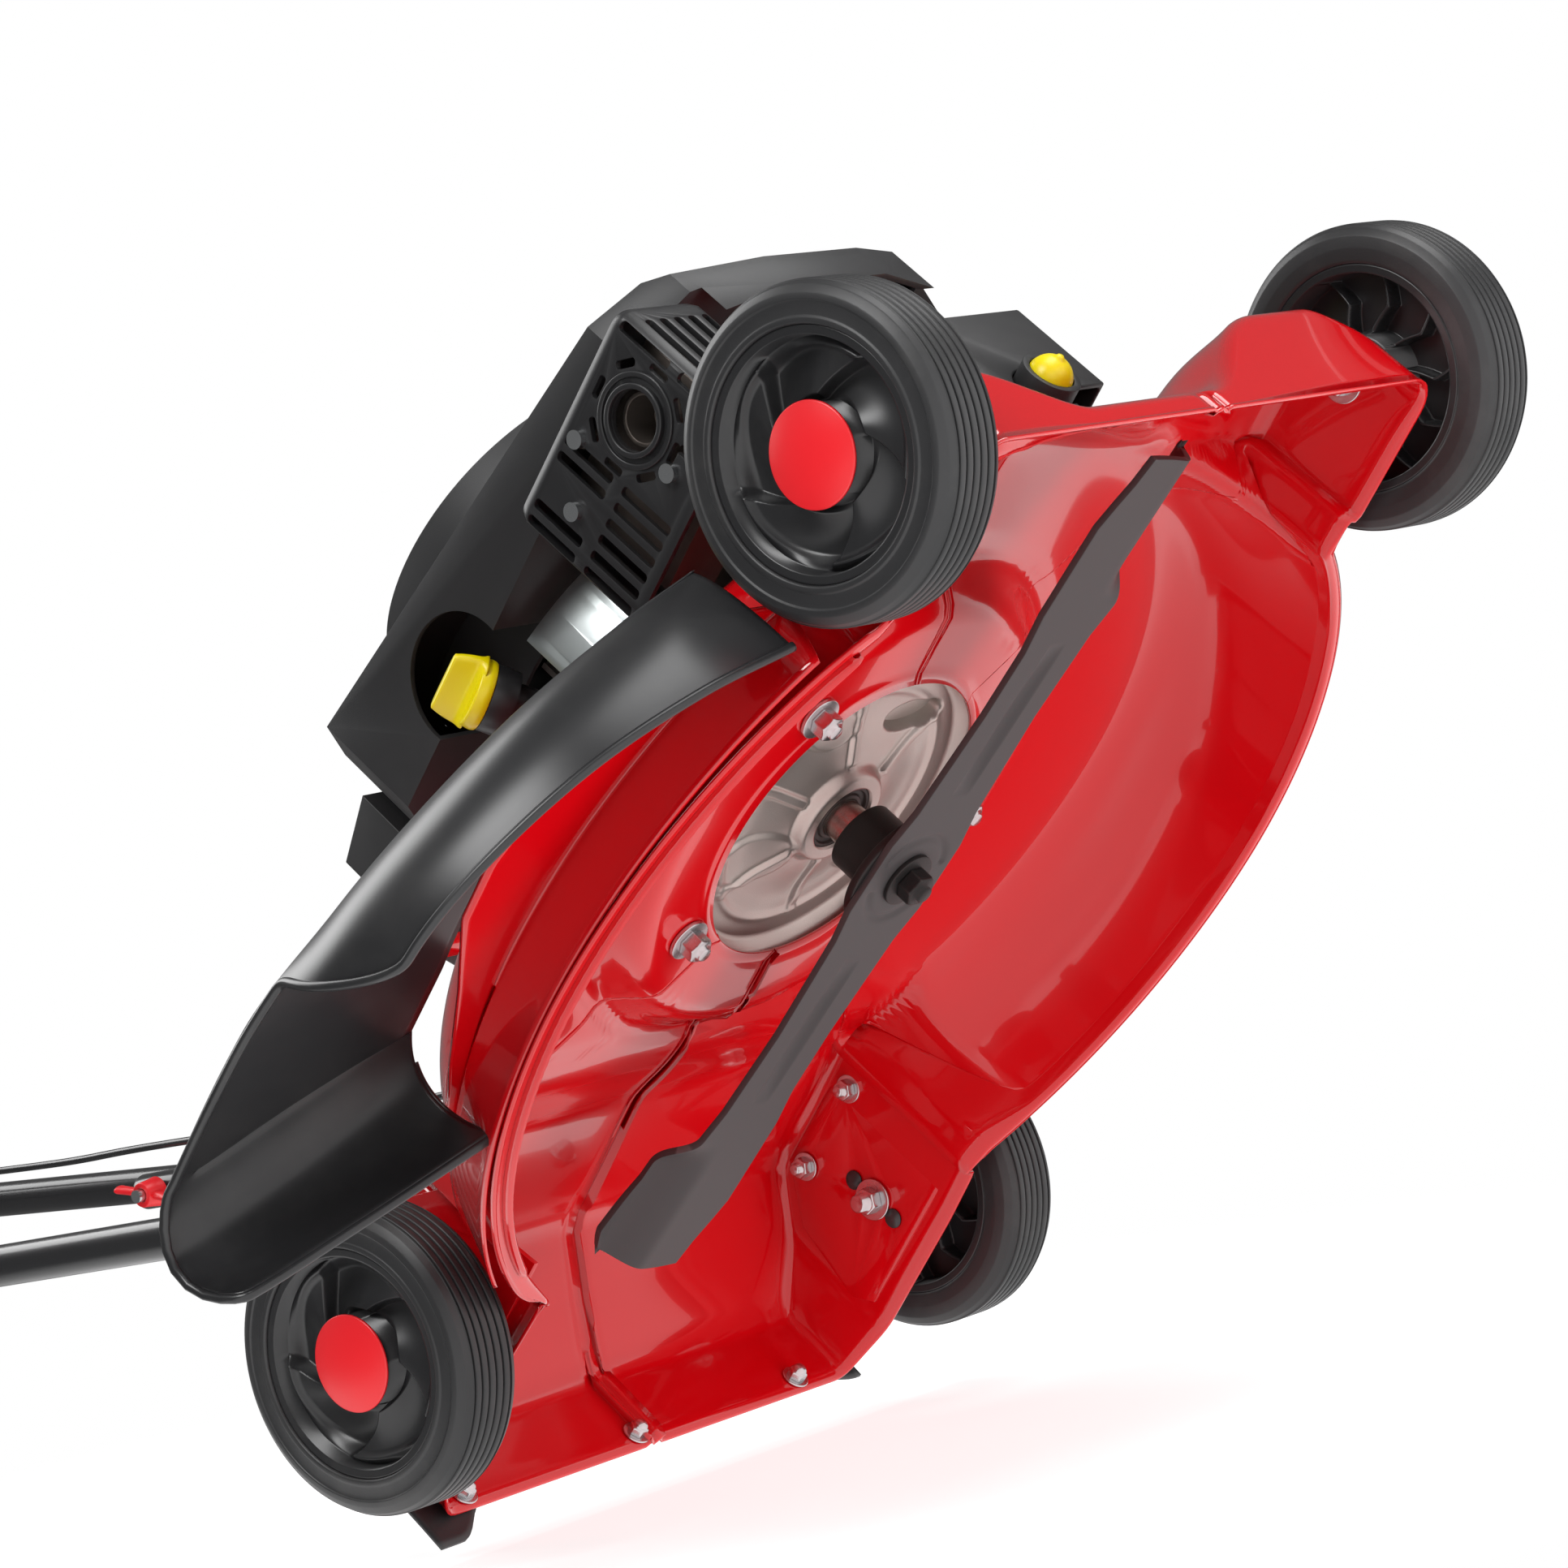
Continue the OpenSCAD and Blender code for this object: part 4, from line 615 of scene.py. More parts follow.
def hubPart():
    radius, turn, outer = hubFace(True)
    _, _, inner = hubFace(False)
    outerGrid = np.stack([radius * np.cos(turn), radius * np.sin(turn), outer + 0 * turn], axis=-1)
    innerGrid = np.stack([radius * np.cos(turn), radius * np.sin(turn), inner + 0 * turn], axis=-1)
    return sheetPart(np.concatenate([outerGrid, innerGrid[:, ::-1]], axis=1), closedRows=True, closedColumns=True)


def capPart():
    f = wheelForm
    r = np.linspace(0, f["cap"] - 0.8, 16)
    dome = np.column_stack([r, 18.8 + np.sqrt(70 ** 2 - r ** 2) - np.sqrt(70 ** 2 - f["cap"] ** 2)])
    edge = [[f["cap"] - 0.2, 18.9], [f["cap"], 18.4], [f["cap"], 17.7], [20.6, 17.7], [20.6, 14.4], [0, 14.4]]
    return revolvedPart(np.vstack([dome, edge]), 96)


def makeWheel(corner):
    centre = middleOf("tyre_" + corner)
    side = 1 if "left" in corner else -1
    body = "wheel_" + corner
    axis = (side, 0, 0)
    spin = 0.35 if "front" in corner else 0.1
    pieceFrom("tyreRing_" + corner, [turned(revolvedPart(tyreOutline(), 160), axis, centre)], tyreRubber, body,
              ["tyre_" + corner], 35)
    pieceFrom("hubDish_" + corner, [turned(hubPart(), axis, centre, spin)], hubPlastic, body, ["hub_" + corner], 32)
    pieceFrom("hubCap_" + corner, [turned(capPart(), axis, centre)], capRed, body, ["cap_" + corner], 40)


for corner in corners:
    makeWheel(corner)
print("wheels turned")

# Blade: a bar with a waist, ribs, ring bosses and lifted tips
bladeForm = {"radius": 254.0, "low": 62.0, "thick": 3.5, "turn": np.radians(99)}


def makeBlade():
    f = bladeForm
    x = np.linspace(-f["radius"], f["radius"], 420)
    r = np.abs(x)
    lead = np.interp(r, [0, 20, 40, 100, 138, 160, 212, 226, 238, 254],
                     [31, 31, 26, 23, 24, 29, 31, 27, 23, 20])
    trail = np.interp(r, [0, 20, 40, 100, 150, 176, 206, 222, 240, 254],
                      [31, 31, 26, 22, 24, 30, 31, 34, 37, 30])
    front, back = np.where(x > 0, lead, trail), np.where(x > 0, trail, lead)
    across = np.linspace(-1, 1, 45)[None]
    y = np.where(across < 0, across * front[:, None], across * back[:, None])
    handed = np.where(x[:, None] > 0, y, -y)
    z = f["low"] + 0 * y
    rib = np.clip(1 - ((r[:, None] - 98) / 46) ** 2, 0, 1) ** 0.6 * np.clip(1 - (y / 6.5) ** 2, 0, 1) ** 0.7
    z = z + 2.6 * rib
    ring = np.hypot(x[:, None], y)
    z = z + 1.2 * np.exp(-((ring - 25) / 2.2) ** 2) * (np.abs(np.cos(np.arctan2(y, x[:, None]))) > 0.35)
    lift = smoothStep(r[:, None], 168, 196) * smoothStep(handed, 6, 30)
    z = z + 17 * lift * smoothStep(handed, 2, 34)
    reach = np.sqrt(np.clip(f["radius"] ** 2 - y ** 2, 0, None))
    xGrid = np.clip(x[:, None] + 0 * y, -reach, reach)
    grid = np.stack([xGrid, y, z], axis=-1)
    c, s = np.cos(f["turn"]), np.sin(f["turn"])
    grid = grid @ np.array([[c, s, 0], [-s, c, 0], [0, 0, 1]])
    blade = pieceFrom("cuttingBlade", [sheetPart(grid)], bladeCoat, "rotor", ["blade"], 30)
    if sum(face.normal.z * face.area for face in blade.data.polygons) > 0:
        blade.data.flip_normals()
    wall = blade.modifiers.new("wall", "SOLIDIFY")
    wall.thickness, wall.offset = f["thick"] * mm, -1
    addBevel(blade, 0.5, 2, 60)


makeBlade()


def nutPart(flats, height, washer=0.0, washerThick=1.6, dome=0.0, stud=0.0, studLength=0.0):
    # hexagon whose radius is the flat's distance over the cosine of the turn, chamfered, over a round flange
    turn = np.linspace(0, 2 * np.pi, 96, endpoint=False)[:, None]
    hexagon = flats / 2 / np.cos(np.mod(turn, np.pi / 3) - np.pi / 6)
    limit = flats / np.sqrt(3)
    top = limit * 0.8
    rows = [(0, 0), (limit * 0.99, 0), (limit, height * 0.1), (limit, height * 0.82), (limit * 0.93, height * 0.96)]
    if dome:
        rows += [(top * np.cos(a), height + dome * np.sin(a)) for a in np.linspace(0, np.pi / 2, 8)]
    else:
        rows += [(top, height), (max(stud, 0.5), height)]
        if stud:
            rows += [(stud, height + studLength - 0.6), (stud * 0.8, height + studLength)]
        rows.append((0, height + (studLength if stud else 0)))
    base = washerThick if washer else 0.0
    across, up = np.array(rows, float).T
    radius = np.minimum(hexagon, across)
    grid = np.stack([radius * np.cos(turn), radius * np.sin(turn), up + base + 0 * turn], axis=-1)
    parts = [sheetPart(grid, closedRows=True)]
    if washer:
        outline = roundedOutline([[0.5, 0], [washer, 0], [washer, washerThick], [0.5, washerThick]], 0.5, 3)
        parts.append(revolvedPart(outline, 64))
    return parts


def fastened(name, material, body, nodes, spots):
    parts = []
    for spot in spots:
        for part in nutPart(**spot["size"]):
            parts.append(turned(part, spot["axis"], spot["at"], spot.get("spin", 0)))
    pieceFrom(name, parts, material, body, nodes, 32)


boltCircle = 101.6
boltAngles = np.radians([-132, 5, 143])
seatFace = deckForm["seatZ"] - deckForm["sheet"]
fastened("engineNuts", zincPlate, "mower", ["engine_bolts"], [
    {"size": {"flats": 13, "height": 8.4, "washer": 11.5, "washerThick": 2.4, "stud": 4, "studLength": 3},
     "axis": (0, 0, -1), "at": (boltCircle * np.cos(a), boltCircle * np.sin(a), seatFace - 0.2), "spin": 0.4}
    for a in boltAngles])
rearInner = deckForm["rearY"] - deckForm["sheet"] - 0.3
fastened("shieldNuts", zincPlate, "mower", ["shield_screws"], [
    {"size": {"flats": 9, "height": 4.6, "washer": 7.5, "washerThick": 1.2, "dome": 3.4},
     "axis": (0, -1, 0), "at": (x, rearInner, 41)} for x in (-140, -8, 123)])
plateInner = 178 - 2.4 - 3.4
fastened("plateNuts", zincPlate, "mower", ["plate_bolts"], [
    {"size": {"flats": 10, "height": 5.6, "washer": 8, "washerThick": 1.3, "stud": 3, "studLength": 4},
     "axis": (-side, 0, 0), "at": (side * plateInner, y, 123), "spin": 0.2} for side in (-1, 1) for y in (232, 289)])


axleForm = {"y": {"front": -273, "rear": 273}, "z": 77, "nutFace": {"front": 182.2, "rear": 172},
            "wallFace": {"front": 185.3, "rear": 178.3}, "hubFace": 229.0, "headEnd": 233.4}


def makeAxles():  # shoulder bolts through the walls, each with a flanged nut inside
    f = axleForm
    parts = []
    for corner in corners:
        end, side = corner.split("_")[0], 1 if "left" in corner else -1
        y, outer = f["y"][end], f["wallFace"][end]
        for part in nutPart(13, 7, washer=11.5, washerThick=1.6, stud=4.9, studLength=6):
            parts.append(turned(part, (-side, 0, 0), (side * f["nutFace"][end], y, f["z"]), 0.3))
        shoulder, head = f["hubFace"] - outer, f["headEnd"] - outer
        shank = roundedOutline([[0.2, 0], [10.5, 0], [10.5, 2], [6, 2.2], [6, shoulder], [11, shoulder],
                                [11, head], [0.2, head]], 0.6, 3)
        parts.append(turned(revolvedPart(shank, 48), (side, 0, 0), (side * outer, y, f["z"])))
    pieceFrom("wheelBolts", parts, zincPlate, "mower", ["axle_bolts"], 32)


makeAxles()
fastened("bladeNut", blackSteel, "rotor", ["blade_bolt"], [
    {"size": {"flats": 16, "height": 9, "washer": 15, "washerThick": 2.6, "stud": 4.6, "studLength": 3},
     "axis": (0, 0, -1), "at": (0, 0, 62.1), "spin": 0.5}])
print("fasteners set")

# Sump: the casting seen through the deck's opening, as heights over radius and turn
sumpForm = {
    "bore": 19.2, "radius": 114.0, "face": 121.0, "dish": 5.5, "boss": 6.5, "ribs": 6, "ribHigh": 2.6, "back": 128.0,
    "flange": 112.3, "ring": 72.0,
    "patches": [(34, -52, 22, 9, -15), (-44, 26, 27, 17, 2.0), (46, 34, 20, 14, 2.2), (-30, -52, 18, 12, 1.6)]}


def makeSump():
    f = sumpForm
    radius = np.concatenate([np.linspace(f["bore"], 30, 14), np.linspace(31, 84, 60),
                             np.linspace(86, f["radius"], 12)])
    turn = np.linspace(0, 2 * np.pi, 540, endpoint=False)[:, None]
    face = f["face"] - f["dish"] * (1 - smoothStep(radius, 26, 60)) + 0 * turn
    face = face - f["boss"] * (1 - smoothStep(radius, 25, 31))
    ribTurn = np.mod(turn * f["ribs"] / (2 * np.pi) + 0.2, 1) - 0.5
    rib = 1 - smoothStep(np.abs(ribTurn) * 2 * np.pi / f["ribs"] * radius, 1.6, 4.4)
    face = face - f["ribHigh"] * rib * smoothStep(radius, 28, 34) * (1 - smoothStep(radius, 60, 78))
    x, y = radius * np.cos(turn), radius * np.sin(turn)
    for middleX, middleY, halfX, halfY, depth in f["patches"]:  # oval hollow and raised places
        spot = ((x - middleX) / halfX) ** 2 + ((y - middleY) / halfY) ** 2
        face = face - depth * (1 - smoothStep(spot, 0.7, 1.15))
    face = face - 1.4 * np.exp(-((radius - f["ring"]) / 2.6) ** 2)
    outer = smoothStep(radius, 84, 92)
    face = face * (1 - outer) + f["flange"] * outer
    grid = np.stack([x, y, face], axis=-1)
    back = grid[:, [-1, 0]].copy()
    back[..., 2] = f["back"]
    back[:, 0, :2] *= 0.998
    shape = np.concatenate([grid, back], axis=1)
    pieceFrom("sumpCasting", [sheetPart(shape, closedRows=True, closedColumns=True)], castAluminium, "mower",
              ["sump"], 40)


makeSump()


sealOutline = [[11.3, 110.6], [13.4, 110.6], [14, 112.4], [16.4, 112.4], [17, 110.5], [19, 110.5], [19, 117.4],
               [11.3, 117.4]]
pieceFrom("lipSeal", [revolvedPart(roundedOutline(sealOutline, 0.5, 3), 80)], brownRubber, bodyOf["oil_seal"],
          ["oil_seal"], 35)
for node, material, width in [
        ("blade_adapter", blackSteel, 1.0), ("crankshaft", turnedSteel, 0.6), ("shroud", coverPlastic, 2.6),
        ("recoil_cover", coverPlastic, 2.0), ("fuel_tank", coverPlastic, 3.0), ("air_filter_base", coverPlastic, 1.0),
        ("air_filter_cover", coverPlastic, 2.5), ("muffler", exhaustSteel, 1.5),
        ("heat_shield", zincSheet, 0.3), ("height_plate_left", redEnamel, 0.7),
        ("height_plate_right", redEnamel, 0.7), ("hinge_bracket", redEnamel, 0.6), ("oil_filler", darkPlastic, 0.8),
        ("handle_brackets", blackSteel, 0.6), ("cylinder_head", castAluminium, 0.8),
        ("starter_pulley", darkPlastic, 0.5), ("plug_boot", darkPlastic, 1.5), ("fuel_cap", darkPlastic, 1.2)]:
    softened(node, material, width)
print("engine covers softened")

for node, material in [("crankcase", castAluminium), ("flywheel", castAluminium), ("hinge_rod", zincPlate),
                       ("hinge_spring", zincPlate), ("handle_bolts", zincPlate), ("guard_screws", zincPlate),
                       ("spark_plug", glazedWhite)]:
    mesh = frame["nodes"][node].data
    mesh.materials.clear()
    mesh.materials.append(material)


# Muffler guard: a box with rounded corners, open behind and above, pierced by long slots and round places
guardForm = {"low": (-186.0, -236.0, 150.0), "high": (-128.0, -114.0, 238.0), "wall": 3.0, "corner": 9.0,
             "pitch": 9.2, "slot": 5.4, "outletY": -198.0, "outletZ": 200.0, "outletRadius": 14.5, "openBehind": 14.0}


def roundBox(size, corner, deep):  # slab with rounded corners in plan, made along Z
    halfX, halfY = size[0] / 2, size[1] / 2
    outline = roundedOutline([[-halfX, -halfY], [halfX, -halfY], [halfX, halfY], [-halfX, halfY]], corner, 8)
    rows = [outline * 0.0, outline, outline, outline * 0.0]
    grid = np.stack([np.column_stack([row, np.full(len(row), z)])
                     for row, z in zip(rows, (0, 0, deep, deep))], axis=1)
    return sheetPart(grid, closedRows=True)


def cutAway(piece, cutters):  # takes the cutters' shapes out of the piece, then drops the cutters
    for cutter in cutters:
        cut = piece.modifiers.new("cut", "BOOLEAN")
        cut.operation, cut.solver, cut.object = "DIFFERENCE", "EXACT", cutter
    graph = bpy.context.evaluated_depsgraph_get()
    mesh = bpy.data.meshes.new_from_object(piece.evaluated_get(graph))
    piece.modifiers.clear()
    piece.data = mesh
    for cutter in cutters:
        bpy.data.objects.remove(cutter)


def makeGuard():
    f = guardForm
    low, high = np.array(f["low"]), np.array(f["high"])
    middle, size = (low + high) / 2, high - low
    startX = low[0] - 8  # the cutters start just outside the face
    outline = roundedOutline([[low[0], low[1]], [high[0], low[1]], [high[0], high[1]], [low[0], high[1]]],
                             f["corner"], 8)
    ring = outline - middle[:2]
    crown = [(0.0, high[2]), (1 - 7 / size[0], high[2]), (1 - 2.0 / size[0], high[2] - 1.6), (1.0, high[2] - 6),
             (1.0, low[2]), (0.0, low[2])]
    grid = np.stack([np.column_stack([ring * share + middle[:2], np.full(len(ring), z)])
                     for share, z in crown], axis=1)
    body = meshObject("slottedGuard", [sheetPart(grid, closedRows=True)], 0.01, 0.005)
    inner = size - 2 * f["wall"]
    hollow = roundBox((inner[0] + f["openBehind"], inner[1]), 5, size[2] - f["wall"] + 4)
    hollow = turned(hollow, (0, 0, 1), (middle[0] + f["openBehind"] / 2, middle[1], low[2] - 4))
    slots = []
    for row in range(-6, 7):
        y = middle[1] + row * f["pitch"]
        for foot, head in ((156, 190), (197, 231)):
            mid = (foot + head) / 2
            if abs(y - f["outletY"]) < 27 and abs(mid - f["outletZ"]) < 45:  # room for the outlet's rings
                if y - f["outletY"] >= 0 or mid >= 190:
                    continue
                head, mid = 172, 164
            if min(abs(y + 140) + abs(mid - 208), abs(y + 190) + abs(mid - 170)) < 14:
                continue
            slots.append(turned(roundBox((head - foot, f["slot"]), 2.6, 24), (1, 0, 0), (startX, y, mid)))
    for row in range(5):
        slots.append(turned(roundBox((f["slot"], 62), 2.6, 14), (0, 1, 0), (-176 + row * 10.0, low[1] - 6, 194)))
    fan = []
    for spin in np.radians(np.arange(0, 360, 45)):
        points, quads = roundBox((4.2, 12), 2.0, 24)
        points = points + [26.5, 0, 0]
        c, s = np.cos(spin), np.sin(spin)
        points = points @ np.array([[c, s, 0], [-s, c, 0], [0, 0, 1]])
        fan.append(turned((points, quads), (1, 0, 0), (startX, f["outletY"], f["outletZ"])))
    bore = [[0, 0], [f["outletRadius"], 0], [f["outletRadius"], 30], [0, 30]]
    hole = turned(revolvedPart(bore, 64), (1, 0, 0), (startX, f["outletY"], f["outletZ"]))
    cutters = [meshObject(name, parts, 0.01, 0.005) for name, parts in
               (("inside", [hollow]), ("slots", slots), ("fan", fan), ("hole", [hole]))]
    cutAway(body, cutters)
    body.data.name = "slottedGuard"
    addBevel(body, 0.5, 2, 50)
    finishPiece(body, darkPlastic, "mower", ["muffler_guard"], 40)
    rings = []
    for inside, outside, out in ((14.6, 17.6, 3.0), (20.0, 23.0, 1.6)):
        profile = roundedOutline([[inside, -2.0], [inside, out], [outside, out], [outside, -2.0]], 0.9, 4)
        rings.append(turned(revolvedPart(profile, 72), (-1, 0, 0), (low[0] + 0.2, f["outletY"], f["outletZ"])))
    collar = pieceFrom("guardRings", rings, darkPlastic, "mower", (), 40)


makeGuard()


def makeSpareHoles():  # open holes of the other wheel heights, seen from inside as dark rounds
    parts = []
    for corner in corners:
        end, side = corner.split("_")[0], 1 if "left" in corner else -1
        inner = {"front": 182.2, "rear": 171.9}[end]
        for z in (61, 93):
            outline = [[0.01, -0.4], [5.3, -0.4], [5.3, 0.25], [0.01, 0.25]]
            parts.append(turned(revolvedPart(outline, 40), (-side, 0, 0), (side * inner, axleForm["y"][end], z)))
    holes = pieceFrom("spareHoles", parts, darkPlastic, "mower", (), 30)


makeSpareHoles()


primerForm = {"radius": 12.1, "high": 12.4, "foot": 3.8, "stand": 14.2}


def makePrimer():  # soft dome with a small nib
    f = primerForm
    low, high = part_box("primer_bulb")
    centre = middleOf("primer_bulb")
    front = centre[1] - (high[1] - low[1]) / 2 / mm
    a = np.linspace(0, np.pi / 2, 18)
    dome = np.column_stack([f["radius"] * np.sin(a), f["high"] * np.cos(a)])
    nib = np.array([[0, 14.0], [1.6, 13.8], [2.2, 13.0], [3.0, 12.2]])
    skirt = [[f["radius"] + 0.1, 0], [f["radius"] + 0.1, -f["foot"]], [0, -f["foot"]]]
    profile = np.vstack([nib, dome[dome[:, 0] > 3.2], skirt])
    part = turned(revolvedPart(profile, 64), (0, -1, 0), (centre[0], front + f["stand"], centre[2]))
    pieceFrom("primerDome", [part], yellowCap, "primer", ["primer_bulb"], 50)


capForm = {"base": (-150.0, -6.0, 232.0), "skirt": 18.0, "wing": 19.5, "wingTall": 16.5, "wingSquare": 0.55,
           "plug": 9.6, "stick": 46.0}


def makeDipstick():  # winged cap: an upright blade with rounded-square sections, over a round skirt
    f = capForm
    base = np.array(f["base"])
    out = np.array([-1, 0, 1]) / np.sqrt(2)
    skirt = roundedOutline([[0.2, 0.2], [f["skirt"] - 0.6, 0.2], [f["skirt"], 3], [f["skirt"] - 1, 8],
                            [0.2, 8]], 1.0, 4)
    plug = roundedOutline([[0.0, -12], [f["plug"], -12], [f["plug"], 0.5], [0.0, 0.5]], 0.4, 3)
    parts = [turned(revolvedPart(skirt, 72), out, base), turned(revolvedPart(plug, 40), out, base)]
    u = np.linspace(0, 2 * np.pi, 64, endpoint=False)[:, None]
    v = np.linspace(0, 1, 18)[None]
    wide = f["wing"] - 3.5 * v ** 2
    thick = 4.6 - 1.4 * v + 5 * np.exp(-(v / 0.16) ** 2)
    wing = np.stack([thick * np.sign(np.cos(u)) * np.abs(np.cos(u)) ** f["wingSquare"],
                     wide * np.sign(np.sin(u)) * np.abs(np.sin(u)) ** f["wingSquare"],
                     6 + f["wingTall"] * v + 0 * u], axis=-1)
    roof = wing[:, -1:] * [0, 0, 1] + [0, 0, 0.4]
    inset = wing[:, -1:] * [0.8, 0.94, 1] + [0, 0, 0.35]
    floor = wing[:, :1] * [0, 0, 1]
    grid = np.concatenate([floor, wing, inset, roof], axis=1)
    parts.append(turned(sheetPart(grid, closedRows=True), out, base))
    stick = np.linspace(0, 1, 12)[:, None] * (-out * f["stick"])[None] + base
    parts.append(tubePart(stick, 1.8, 12))
    pieceFrom("dipstickCap", parts, yellowCap, "dipstick", ["dipstick_cap"], 35)


makePrimer()
makeDipstick()


def makeFoldNut(node):  # round hub with one wing, thicker and higher towards its two tips
    centre = middleOf(node)
    side = 1 if "left" in node else -1
    hub = roundedOutline([[4.1, 0], [9.4, 0], [8.6, 5], [7.6, 14], [4.1, 14]], 0.8, 4)
    base = (centre[0] + side * 7, centre[1], centre[2])
    parts = [turned(revolvedPart(hub, 48), (-side, 0, 0), base)]
    u = np.linspace(0, 2 * np.pi, 40, endpoint=False)[None]
    s = np.linspace(-1, 1, 60)[:, None]
    high = 3.2 + 2.2 * np.abs(s) ** 2
    wing = np.stack([24 * s + 0 * u, 2.6 * np.cos(u) + 0 * s, 8.5 + 1.4 * s ** 2 + high * np.sin(u)], axis=-1)
    wing[[0, -1]] = wing[[0, -1]].mean(axis=1, keepdims=True)
    parts.append(turned(sheetPart(wing, closedColumns=True), (-side, 0, 0), base, 0.6))
    pieceFrom(node + "_soft", parts, capRed, node, [node], 45)


for node in ("wing_nut_left", "wing_nut_right"):
    makeFoldNut(node)


def makeShield():  # flexible flap behind the rear wall, cut higher along most of its lower edge
    low, high = (np.array(corner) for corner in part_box("rear_shield"))
    low, high = (low - crankAxis) / mm, (high - crankAxis) / mm
    x = np.linspace(low[0] + 1, high[0] - 1, 80)[:, None]
    up = np.linspace(0, 1, 14)[None]
    foot = 36 - 18 * (1 - smoothStep(x, -158, -128)) - 4 * smoothStep(x, 150, 170)
    z = foot + (high[2] - 0.5 - foot) * up
    y = high[1] - 0.4 - 0.6 * np.sin(np.pi * up) + 0 * x
    pieceFrom("rearFlap", [sheetPart(np.stack([x + 0 * up, y, z], axis=-1))], coverPlastic, "mower",
              ["rear_shield"], 40, 1.8)


makeShield()

# Handle tubes, each a circle carried along its own line
handleForm = {"tube": 11.0, "half": 190.0, "upperX": 213.0, "lowerY": 280.0, "lowerZ": 179.0, "lowerLen": 498.0,
              "lowerAngle": np.radians(42), "upperAngle": np.radians(45), "upperLen": 520.0, "bend": 60.0,
              "foam": 14.6, "foamHalf": 143.0, "bailAt": 370.0, "bailLong": 168.0, "bailIn": 25.0, "bailTube": 4.0}


def alongLower(s):
    f = handleForm
    return np.array([0, f["lowerY"] + s * np.cos(f["lowerAngle"]), f["lowerZ"] + s * np.sin(f["lowerAngle"])])


def alongUpper(s, out=0.0):
    f = handleForm
    joint = alongLower(f["lowerLen"])
    along = np.array([0, np.cos(f["upperAngle"]), np.sin(f["upperAngle"])])
    away = np.array([0, -np.sin(f["upperAngle"]), np.cos(f["upperAngle"])])
    return joint + np.multiply.outer(np.asarray(s, float), along) + np.multiply.outer(np.asarray(out, float), away)


def barPath(half, start, finish, bend, steps=16):  # U of straight legs and quarter-circle bends, as (across, along)
    a = np.linspace(0, np.pi / 2, steps)
    leg = np.column_stack([np.full(14, half), np.linspace(start, finish - bend, 14)])
    corner = np.column_stack([half - bend + bend * np.cos(a), finish - bend + bend * np.sin(a)])
    right = np.vstack([leg[:-1], corner])
    return np.vstack([right, right[::-1] * [-1, 1]])


def makeHandles():
    f = handleForm
    for side, node in ((1, "lower_handle_left"), (-1, "lower_handle_right")):
        end = f["lowerLen"]
        s = np.concatenate([[-18, -17.2], np.linspace(-16, end + 22, 40), [end + 23.4, end + 24]])
        path = alongLower(0) + np.multiply.outer(s, alongLower(1) - alongLower(0)) + [side * f["half"], 0, 0]
        radius = np.full(len(s), f["tube"])
        radius[[0, -1]], radius[[1, -2]] = f["tube"] - 1.6, f["tube"] - 0.5
        pieceFrom(node + "_tube", [tubePart(path, radius, 40)], tubePaint, "mower", [node], 40)
    flat = barPath(f["upperX"], -34, f["upperLen"], f["bend"])
    path = alongUpper(flat[:, 1]) + np.outer(flat[:, 0], [1, 0, 0])
    pieceFrom("upperBar", [tubePart(path, f["tube"], 40)], tubePaint, "upper_handle", ["upper_handle"], 40)
    x = np.linspace(-f["foamHalf"], f["foamHalf"], 120)
    radius = f["foam"] + 0.25 * np.cos(x / 3.2) - 1.5 * smoothStep(np.abs(x), f["foamHalf"] - 4, f["foamHalf"])
    path = alongUpper(f["upperLen"]) + np.outer(x, [1, 0, 0])
    pieceFrom("foamGrip", [tubePart(path, radius, 48)], gripFoam, "upper_handle", ["grip"], 40)
    bail = barPath(f["upperX"] - f["bailIn"], 0, f["bailLong"], 40)
    turn = np.radians(25)
    path = alongUpper(f["bailAt"] + bail[:, 1] * np.cos(turn), bail[:, 1] * np.sin(turn))
    parts = [tubePart(path + np.outer(bail[:, 0], [1, 0, 0]), f["bailTube"], 20)]
    for side in (-1, 1):
        pin = alongUpper(f["bailAt"]) + np.outer(np.linspace(184, 215, 6) * side, [1, 0, 0])
        parts.append(tubePart(pin, 3.0, 16))
    pieceFrom("bailBar", parts, tubePaint, "bail", ["bail_lever"], 40)


makeHandles()


pullForm = {"half": 30.0, "radius": 8.6, "stem": 3.2, "stemStart": 84.5, "back": 9.0}


def makeGrip():  # starter's handle: a bar that is fuller in its middle, on a short stem
    f = pullForm
    centre = middleOf("starter_grip")
    y = (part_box("starter_grip")[1][1] - crankAxis[1]) / mm - f["back"]
    x = np.linspace(-f["half"], f["half"], 50)
    radius = f["radius"] + 0.55 * np.cos(x / f["half"] * np.pi) - 3 * smoothStep(np.abs(x), f["half"] - 3, f["half"])
    bar = tubePart(np.column_stack([x + centre[0], np.full(50, y), np.full(50, centre[2])]), radius, 32)
    stemY = np.linspace(f["stemStart"], y, 12)
    stem = tubePart(np.column_stack([np.full(12, centre[0]), stemY, np.full(12, centre[2])]), f["stem"], 16)
    pieceFrom("pullGrip", [bar, stem], darkPlastic, "starter_grip", ["starter_grip"], 45)


makeGrip()


cableForm = {"radius": 2.4, "route": [
    [120, 60, 226], [165, 120, 214], [172, 240, 196], [172, 360, 290], [172, 500, 412], [186, 640, 540],
    [196, 720, 612], [196, 860, 750], [196, 900, 800]]}
route = alongCurve(cableForm["route"], 220)
cable = pieceFrom("stopCable", [tubePart(route, cableForm["radius"], 14)], tubePaint, "mower", (), 60)
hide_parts("bail_cable")
print("handle and cable bent")

